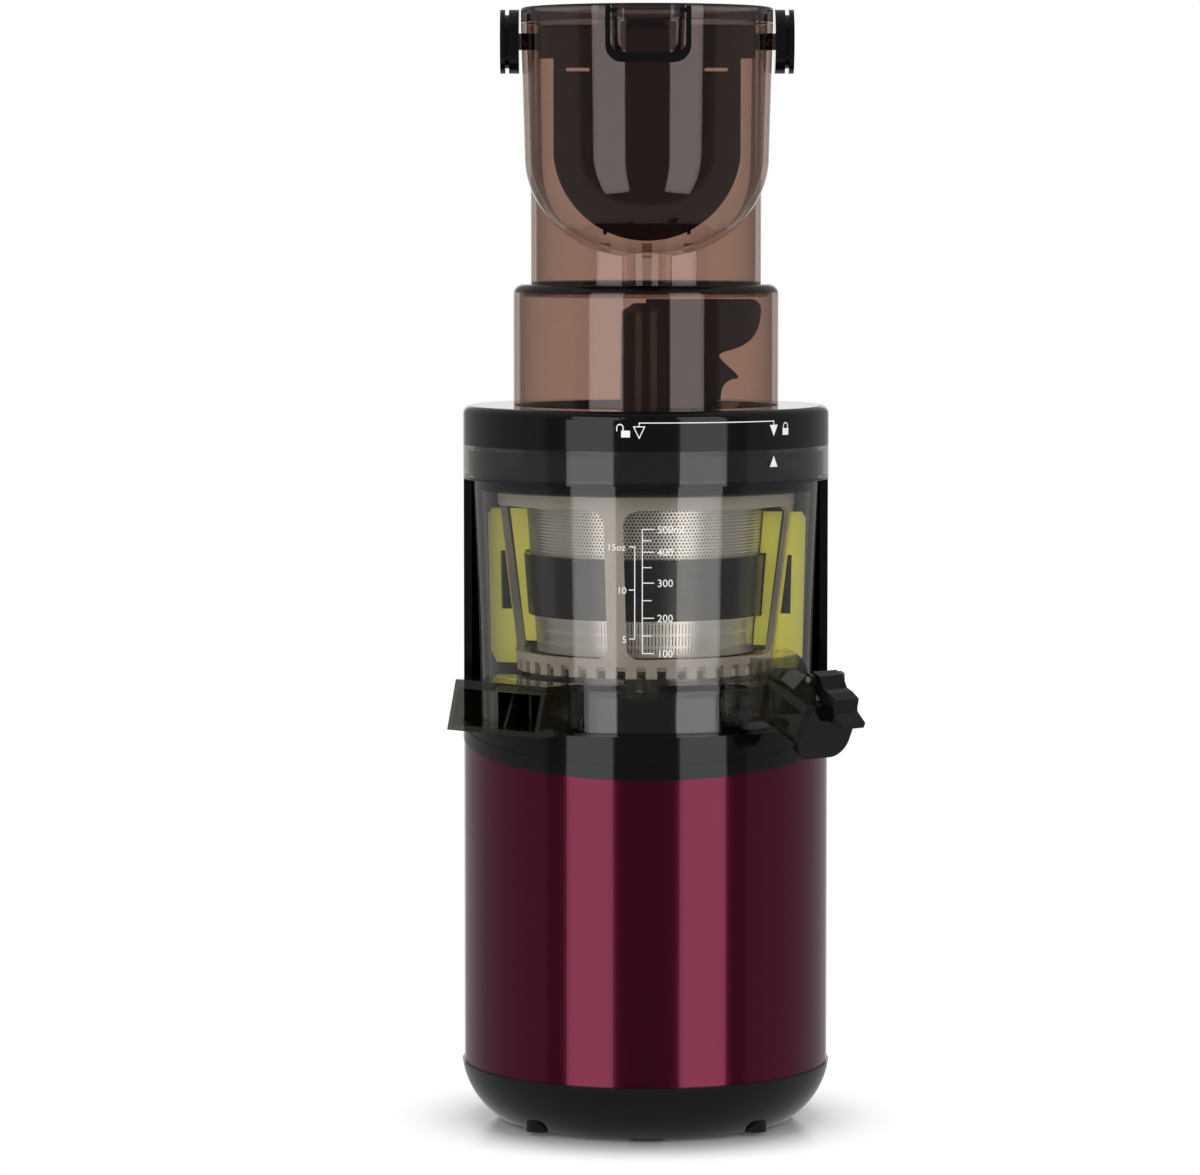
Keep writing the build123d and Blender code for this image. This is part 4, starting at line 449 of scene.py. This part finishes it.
def make_finishes():
    """Every finish by name."""
    c = colours()
    return {
        "paint": burgundy_paint(),
        "black": moulded("gloss_black", c.black, 0.075, drift=0.15, Specular_IOR_Level=0.3),
        "matt": moulded("matt_black", (0.02, 0.02, 0.021), 0.45, grain=0.5),
        "rubber": moulded("foot_rubber", (0.03, 0.03, 0.031), 0.7, grain=0.7),
        "smoke": clear_plastic(
            "smoky_brown", c.smoke, film=(0.20, 0.185, 0.18), rim=(0.30, 0.27, 0.26), facing=0.2, grazing=0.9,
            # Painted shade: dark rims along the tops of the neck and the hopper, where the thick top is seen
            # edge-on.
            painted_shade_zones=(
                PaintedShadeZone(NECK_TOP - 4.5 * MM, NECK_TOP + 1.5 * MM, 0.0, 0.8, RIM_PAINTED_SHADE),
                PaintedShadeZone(HOPPER_TOP - 2.5 * MM, HOPPER_TOP + 1 * MM, 0.0, 0.8, RIM_PAINTED_SHADE),
            ),
        ),
        "smoke_lid": clear_plastic(
            "smoky_lid", (0.66, 0.60, 0.57), film=(0.12, 0.11, 0.11), rim=(0.2, 0.19, 0.19), facing=0.4,
            # Painted shade: a dark rim along the feed lid's top edge, where the thick edge is seen edge-on.
            grazing=0.95, painted_shade_zones=(PaintedShadeZone(FEED_LID_TOP - 1.8 * MM, FEED_LID_TOP + 2 * MM, 0.0, 0.8, RIM_PAINTED_SHADE),),
        ),
        "gate": clear_plastic(
            "smoky_dark", (0.34, 0.31, 0.31), film=(0.07, 0.068, 0.07), rim=(0.1, 0.1, 0.1), facing=0.5,
            grazing=0.95,
        ),
        "clear": clear_plastic(
            "clear_bowl", c.clear, film=(0.34, 0.34, 0.34), rim=(0.9, 0.88, 0.85), facing=0.11, grazing=0.85,
            # Painted shade: the chute and spout below the band, a dark line at the flange's foot and a greyer
            # flange band, standing in for the darkening seen through thick or doubled walls.
            painted_shade_zones=(
                PaintedShadeZone(0.0, BAND_LOW.z - 12 * MM, SHELL_RADIUS + 1.5 * MM, 0.7, CHUTE_PAINTED_SHADE),
                PaintedShadeZone(FLANGE_FOOT - 5 * MM, FLANGE_FOOT + 2.5 * MM, 0.0, 0.7, RIM_PAINTED_SHADE),
                PaintedShadeZone(FLANGE_FOOT + 2 * MM, LID_LOW.z + 2 * MM, 0.0, 0.4, FLANGE_PAINTED_SHADE),
            ),
        ),
        "silicone": moulded(
            "yellow_silicone", c.silicone, 0.38, grain=0.2, Subsurface_Weight=0.12,
            Subsurface_Radius=(0.004, 0.003, 0.001), Subsurface_Scale=0.5,
        ),
        "seal": moulded("seal_silicone", (0.55, 0.54, 0.50), 0.4, grain=0.2),
        "frame": milky_plastic(
            "frame_grey", (0.62, 0.59, 0.55), c.frame_grey, body_share=0.72, edge_share=0.95, roughness=0.2
        ),
        "screen": perforated_steel(),
        "band": moulded("band_black", (0.012, 0.012, 0.013), 0.25),
        "auger": moulded("auger_plastic", (0.018, 0.014, 0.012), 0.22, Coat_Weight=0.3, Coat_Roughness=0.08),
        "ground": brushed("ground_steel", (0.62, 0.62, 0.63), 0.18, (1, 1, 30)),
        "zinc": brushed("zinc_plate", (0.56, 0.57, 0.60), 0.32, (1, 1, 2), 160.0),
        "cast": moulded("cast_alloy", (0.45, 0.45, 0.46), 0.5, grain=0.9, grain_scale=400.0, Metallic=1.0),
        "laminated": brushed("laminations", (0.30, 0.30, 0.31), 0.4, (0.02, 0.02, 1), 900.0),
        "copper": brushed("copper_wire", (0.62, 0.27, 0.12), 0.3, (0.05, 0.05, 1), 700.0),
        "gear": moulded("gear_nylon", (0.66, 0.64, 0.57), 0.42, grain=0.3),
        "steel_gear": brushed("gear_steel", (0.42, 0.42, 0.44), 0.3, (1, 1, 1), 300.0),
        "board": moulded("board_green", (0.01, 0.09, 0.035), 0.35),
        "sleeve": moulded("capacitor_sleeve", (0.015, 0.02, 0.09), 0.3),
        "print": print_ink(),
    }


FINISH_OF = {
    "feet": "rubber", "bottom_cover": "black", "base_shell": "paint", "trim_ring": "black",
    "upper_housing": "black", "carry_handle": "black", "handle_screws": "zinc", "tie_bolts": "zinc",
    "cord_gland": "rubber", "switch_housing": "matt", "rocker_switch": "matt", "circuit_board": "board",
    "capacitor": "sleeve", "lid_sensor": "matt", "motor_case": "zinc", "motor_end_cover": "cast",
    "stator_core": "laminated", "stator_windings": "copper", "motor_bearings": "ground",
    "rotor_shaft": "ground", "rotor_core": "laminated", "motor_fan": "matt", "drive_pinion": "steel_gear",
    "gearbox_housing": "cast", "ring_gear": "steel_gear", "planet_gear_1": "gear", "planet_gear_2": "gear",
    "planet_gear_3": "gear", "planet_carrier": "steel_gear", "drive_shaft": "ground",
    "gearbox_cover": "cast", "output_bearing": "ground", "shaft_seal": "seal", "juicing_bowl": "clear",
    "hub_seal": "seal", "cap_pin": "ground", "juice_cap": "black", "juice_plug": "silicone",
    "idler_gear_1": "gear", "idler_gear_2": "gear", "strainer_base": "band", "strainer_screen": "screen",
    "strainer_band": "band", "strainer_rim": "frame", "brush_frame": "frame", "outer_wipers": "silicone",
    "inner_wipers": "silicone", "auger": "auger", "auger_sleeve": "ground", "auger_gear": "gear",
    "lid_ring": "black", "lid_magnet": "ground", "lid_neck": "smoke", "lid_seal": "seal",
    "hopper": "smoke", "lid_hinge_pin": "ground", "feed_lid": "smoke_lid", "latch_clip": "black",
    "swing_gate": "gate", "pivot_caps": "black",
}


# ---------------------------------------------------------------- mesh helpers
def new_print(name, verts, faces, body):
    """A mesh of printed ink, riding on a body."""
    mesh = bpy.data.meshes.new(name)
    mesh.from_pydata([tuple(v) for v in verts], [], faces)
    mesh.validate()
    piece = bpy.data.objects.new(name, mesh)
    bpy.context.scene.collection.objects.link(piece)
    mesh.materials.append(FINISHES["print"])
    for polygon in mesh.polygons:
        polygon.use_smooth = False
    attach(piece, body)


def wrapped(flat, radius_at, lift):
    """A flat point (sideways, up) laid round the front of a turned surface, lifted a little off it."""
    across, height = flat
    radius = radius_at(height) + lift
    turned = FRONT + across / radius
    return Vector((radius * math.cos(turned), radius * math.sin(turned), height))


def box(left, right, low, high):
    """The four corners of an upright rectangle."""
    return [Vector(p) for p in ((left, low), (right, low), (right, high), (left, high))]


def stroke(points, width, closed=False):
    """The corners of a line of a width through flat points, as quads."""
    quads = []
    count = len(points) if closed else len(points) - 1
    for i in range(count):
        a, b = Vector(points[i]), Vector(points[(i + 1) % len(points)])
        run = (b - a).normalized()
        side = Vector((-run.y, run.x)) * width / 2
        reach = run * width / 2
        quads.append([a - reach - side, b + reach - side, b + reach + side, a - reach + side])
    return quads


def subdivided(quad, step):
    """Cuts a flat quad into strips no wider than a step, so that it can follow a round surface."""
    a, b, c, d = quad
    count = max(1, math.ceil(max((b - a).length, (c - d).length) / step))
    strips = []
    for i in range(count):
        low, high = i / count, (i + 1) / count
        strips.append([a.lerp(b, low), a.lerp(b, high), d.lerp(c, high), d.lerp(c, low)])
    return strips


def printed(name, quads, radius_at, body):
    """Flat quads printed on a turned surface, with a hair's thickness."""
    longest_strip = 1.2 * MM
    verts, faces = [], []
    for quad in quads:
        for strip in subdivided([Vector(p) for p in quad], longest_strip):
            start = len(verts)
            for lift in (0.0, sizes().print_gap):
                verts += [wrapped(p, radius_at, lift) for p in strip]
            faces.append([start + i for i in (3, 2, 1, 0)])
            faces.append([start + 4 + i for i in range(4)])
            for i in range(4):
                j = (i + 1) % 4
                faces.append([start + i, start + j, start + 4 + j, start + 4 + i])
    new_print(name, verts, faces, body)


def lettering(text, height, left, base):
    """A number as flat triangles, its left edge and base line at a place."""
    font_size_to_height = 1.38
    curve = bpy.data.curves.new("number", "FONT")
    curve.body = text
    curve.size = height * font_size_to_height
    curve.resolution_u = 3
    thing = bpy.data.objects.new("number", curve)
    bpy.context.scene.collection.objects.link(thing)
    mesh = bpy.data.meshes.new_from_object(thing.evaluated_get(bpy.context.evaluated_depsgraph_get()))
    bpy.data.objects.remove(thing)
    bpy.data.curves.remove(curve)
    corners = [vertex.co for vertex in mesh.vertices]
    triangles = [
        [Vector((corners[i].x + left, corners[i].y + base)) for i in polygon.vertices]
        for polygon in mesh.polygons
    ]
    bpy.data.meshes.remove(mesh)
    return triangles


def printed_shapes(name, shapes, radius_at, body):
    """Flat polygons of any shape, printed on a turned surface."""
    verts, faces = [], []
    for shape in shapes:
        start = len(verts)
        verts += [wrapped(p, radius_at, sizes().print_gap) for p in shape]
        faces.append(list(range(start, start + len(shape))))
    new_print(name, verts, faces, body)


# ---------------------------------------------------------------- operators
class FinishNodes(bpy.types.Operator):
    """Makes the finishes and gives every CAD piece its own."""

    bl_idname = "juicer.finish_nodes"
    bl_label = "Finish the CAD pieces"

    def execute(self, context):
        FINISHES.update(make_finishes())
        for name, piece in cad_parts.items():
            piece.data.materials.clear()
            piece.data.materials.append(FINISHES[FINISH_OF[name]])
        return {"FINISHED"}


def lid_radius(height):
    """The lid ring's upright wall, as wide at every height."""
    return LID_RADIUS


class LidMarks(bpy.types.Operator):
    """The lid's lock scale: open and shut padlocks, two triangles and the line between them."""

    bl_idname = "juicer.lid_marks"
    bl_label = "Lid marks"

    def execute(self, context):
        line = sizes().mark_line
        above_middle, hook = 4.2 * MM, 1.8 * MM
        half_width, drop = 2.6 * MM, 5.4 * MM
        open_lock_offset, shut_lock_offset, lock_rise = -8.5 * MM, 6.0 * MM, 0.4 * MM
        left, right = UNLOCKED_PLACE, LOCKED_PLACE
        top = (LID_LOW.z + LID_HIGH.z) / 2 + above_middle
        shoulder = top - hook
        tip = shoulder - drop
        quads = stroke([(left, top), (right, top)], line)
        for end in (left, right):
            quads += stroke([(end, top), (end, shoulder)], line)
        open_mark = [(left - half_width, shoulder), (left + half_width, shoulder), (left, tip)]
        quads += stroke(open_mark, line, closed=True)
        printed("lid_scale_line", quads, lid_radius, "lid")
        full_mark = [(right - half_width, shoulder), (right, tip), (right + half_width, shoulder)]
        shapes = [[Vector(p) for p in full_mark]]
        for place, shut in ((left + open_lock_offset, False), (right + shut_lock_offset, True)):
            shapes += self.padlock(place, tip + lock_rise, shut)
        printed_shapes("lid_lock_marks", shapes, lid_radius, "lid")
        return {"FINISHED"}

    @staticmethod
    def padlock(left, base, shut):
        """A generic padlock: a body and a bow, which stands to one side when it is open."""
        width, height, bow_radius, bow_line = 4.2 * MM, 3.2 * MM, 1.5 * MM, 0.55 * MM
        aside = 0.0 if shut else 2.7 * MM
        rise = 1.1 * MM if shut else 1.4 * MM
        steps = 8
        right, foot = left + width, base + height
        centre = (left + right) / 2 - aside
        turns = [math.pi * i / steps for i in range(steps + 1)]
        bow = [(centre - bow_radius * math.cos(a), foot + rise + bow_radius * math.sin(a)) for a in turns]
        outline = [(centre - bow_radius, foot), *bow, (centre + bow_radius, foot)]
        return [box(left, right, base, foot), *stroke(outline, bow_line)]


class BowlMark(bpy.types.Operator):
    """The triangle on the bowl's flange that the lid's marks point to."""

    bl_idname = "juicer.bowl_mark"
    bl_label = "Bowl mark"

    def execute(self, context):
        half_width, rise, below_lid = 2.5 * MM, 5.3 * MM, 5.5 * MM
        middle = LID_LOW.z - below_lid
        low, high = middle - rise / 2, middle + rise / 2
        corners = (LOCKED_PLACE - half_width, low), (LOCKED_PLACE + half_width, low), (LOCKED_PLACE, high)
        printed_shapes("bowl_pointer", [[Vector(p) for p in corners]], lid_radius, "bowl")
        return {"FINISHED"}


def bowl_radius(height):
    """The bowl's outer wall at a height."""
    (z, radius), (z_above, radius_above) = (
        (WALL_FOOT, WALL_BEND) if height < WALL_BEND[0] else (WALL_BEND, WALL_TOP)
    )
    return radius + (radius_above - radius) * (height - z) / (z_above - z)


class BowlScale(bpy.types.Operator):
    """The bowl's printed scale: millilitres to the right and ounces to the left, plain numbers."""

    bl_idname = "juicer.bowl_scale"
    bl_label = "Bowl scale"

    def execute(self, context):
        ml_axis, oz_axis = -2.4 * MM, -6.0 * MM
        ml_tick, ml_half_tick, oz_tick = 5.4 * MM, 4.2 * MM, 2.6 * MM
        ml_heights, oz_heights = list(ML_HEIGHTS.values()), list(OZ_HEIGHTS.values())
        ticks = [[(ml_axis, ml_heights[0]), (ml_axis, ml_heights[-1])]]
        for z, above in zip(ml_heights, ml_heights[1:]):
            half_way = (z + above) / 2
            ticks.append([(ml_axis, half_way), (ml_axis + ml_half_tick, half_way)])
        ticks += [[(ml_axis, z), (ml_axis + ml_tick, z)] for z in ml_heights]
        ticks.append([(oz_axis, oz_heights[0]), (oz_axis, oz_heights[-1])])
        ticks += [[(oz_axis - oz_tick, z), (oz_axis, z)] for z in oz_heights]
        quads = [quad for tick in ticks for quad in stroke(tick, sizes().mark_line)]
        printed("scale_ticks", quads, bowl_radius, "bowl")
        self.numbers(ml_axis, oz_axis)
        return {"FINISHED"}

    @staticmethod
    def numbers(ml_axis, oz_axis):
        """The numbers beside the ticks; the highest of each kind names its unit."""
        size = sizes().number_height
        oz_size, letter_width = 0.9 * size, 0.66 * size
        ml_gap, oz_gap = 7.0 * MM, 3.6 * MM
        shapes = []
        for level, z in ML_HEIGHTS.items():
            label = f"{level}mL" if level == max(ML_HEIGHTS) else str(level)
            shapes += lettering(label, size, ml_axis + ml_gap, z - size / 2)
        for level, z in OZ_HEIGHTS.items():
            label = f"{level}oz" if level == max(OZ_HEIGHTS) else str(level)
            left = oz_axis - oz_gap - letter_width * len(label)
            shapes += lettering(label, oz_size, left, z - size / 2)
        printed_shapes("scale_numbers", shapes, bowl_radius, "bowl")


class Studio(bpy.types.Operator):
    """Pale floor and world, two tall soft boxes that gloss sees, soft fills, and the camera."""

    bl_idname = "juicer.studio"
    bl_label = "Studio"

    def execute(self, context):
        self.floor()
        self.world()
        for name, side in (("left", -1), ("right", 1)):
            self.lamp(f"strip_{name}", 35.0 * side, 1.6, (0.85, 2.6), 0.2, 15.0, for_gloss=True)
        for name, side in (("left", -1), ("right", 1)):
            self.lamp(f"fill_{name}", 40.0 * side, 1.6, (0.85, 1.2), 0.75, 6.0)
        self.lamp("overhead", 180.0, 0.5, (1.2, 1.0), 1.9, 8.0, aim=0.3)
        self.camera()
        context.scene.view_settings.view_transform = "Standard"
        return {"FINISHED"}

    @staticmethod
    def floor():
        """A round floor whose shaded middle runs out into plain white, and which gloss sees only close by, as
        a flat painted glow.
        """
        floor_radius, below_feet = 0.5, 0.2 * MM
        shade_from, shade_to = 0.078, 0.128
        glow_from, glow_to, glow_strength = 0.13, 0.2, 0.4
        mesh = bpy.data.meshes.new("floor")
        build = bmesh.new()
        bmesh.ops.create_circle(build, cap_ends=True, radius=floor_radius, segments=96)
        build.to_mesh(mesh)
        build.free()
        floor = bpy.data.objects.new("floor", mesh)
        floor.location.z = -below_feet
        bpy.context.scene.collection.objects.link(floor)
        shader = Shader("studio_floor")
        away = shader.off_axis()
        grain = shader.noise(40.0, 2.0)
        ground = shader.surface(
            Base_Color=shader.mix_colour(grain, scaled(WHITE, 0.86), scaled(WHITE, 0.9)), Roughness=0.22
        )
        seen, mirrored = shader.rays()
        to_eye = shader.mix(shader.ramp(away, shade_from, shade_to) * seen, ground, shader.glow(1.0))
        # Painted reflection: near the axis gloss sees the floor as a flat glow rather than the lit floor;
        # farther out gloss sees through it.
        faded = shader.ramp(away, glow_from, glow_to)
        to_gloss = shader.mix(faded, shader.glow(glow_strength), shader.through(WHITE))
        mesh.materials.append(shader.finish(shader.mix(mirrored, to_eye, to_gloss)))

    @staticmethod
    def world():
        """White to the eye; in the gloss dark in front, grey beside and white straight behind."""
        world = bpy.data.worlds.new("studio_world")
        bpy.context.scene.world = world
        world.use_nodes = True
        dark_level, side_rise, back_rise, soft_level = 0.16, 0.2, 0.64, 0.8
        shader = Shader("world", world.node_tree)
        seen, mirrored = shader.rays()
        back = shader.axes("Generated")[1]
        sides = shader.ramp(back, -0.46, -0.36) * side_rise
        glossy = sides + shader.ramp(back, 0.94, 0.99) * back_rise + dark_level
        level = mirrored * glossy + (1.0 - mirrored) * soft_level
        strength = seen + (1.0 - seen) * level
        glow = shader.node("ShaderNodeBackground", None, Color=WHITE, Strength=strength)
        shader.node("ShaderNodeOutputWorld", None, glow, out=())

    @staticmethod
    def lamp(name, azimuth, distance, face, lift, power, for_gloss=False, aim=None):
        """A soft box round the axis, its azimuth in degrees from the front, its face in width and height.

        It looks level at the axis, or at the height aim, and is seen in gloss only or as soft light only.
        """
        light = bpy.data.lights.new(name, "AREA")
        light.shape = "RECTANGLE"
        light.size, light.size_y = face
        light.energy = power
        lamp = bpy.data.objects.new(name, light)
        a = math.radians(azimuth)
        lamp.location = (distance * math.sin(a), -distance * math.cos(a), lift)
        target = Vector((0, 0, lift if aim is None else aim))
        lamp.rotation_euler = (target - lamp.location).to_track_quat("-Z", "Y").to_euler()
        lamp.visible_diffuse = not for_gloss
        lamp.visible_glossy = for_gloss
        bpy.context.scene.collection.objects.link(lamp)

    @staticmethod
    def camera():
        """A long lens at the height of the neck, tilted a little down."""
        s = sizes()
        data = bpy.data.cameras.new("camera")
        data.lens = s.lens
        data.sensor_width = 36.0
        camera = bpy.data.objects.new("camera", data)
        camera.location = (-s.camera_side, -s.camera_distance, s.camera_height)
        aim = Vector((-s.camera_side, 0.0, s.camera_aim))
        camera.rotation_euler = (aim - camera.location).to_track_quat("-Z", "Y").to_euler()
        bpy.context.scene.collection.objects.link(camera)
        bpy.context.scene.camera = camera


STEPS = (FinishNodes, LidMarks, BowlMark, BowlScale, Studio)


class JuicerPanel(bpy.types.Panel):
    """Lists the steps in the sidebar."""

    bl_idname = "VIEW3D_PT_juicer"
    bl_label = "Cold press juicer"
    bl_space_type = "VIEW_3D"
    bl_region_type = "UI"
    bl_category = "Juicer"

    def draw(self, context):
        for step in STEPS:
            self.layout.operator(step.bl_idname)


CLASSES = (JuicerColours, JuicerSizes, *STEPS, JuicerPanel)


def register():
    """Adds the classes and gives the scene its sizes and colours."""
    for item in CLASSES:
        bpy.utils.register_class(item)
    bpy.types.Scene.juicer_colours = PointerProperty(type=JuicerColours)
    bpy.types.Scene.juicer_sizes = PointerProperty(type=JuicerSizes)


def unregister():
    """Takes them away again."""
    del bpy.types.Scene.juicer_colours
    del bpy.types.Scene.juicer_sizes
    for item in reversed(CLASSES):
        bpy.utils.unregister_class(item)


def main():
    """Adds the classes, then runs every step in order."""
    register()
    for step in STEPS:
        group, name = step.bl_idname.split(".")
        getattr(getattr(bpy.ops, group), name)()


if __name__ == "__main__":
    main()
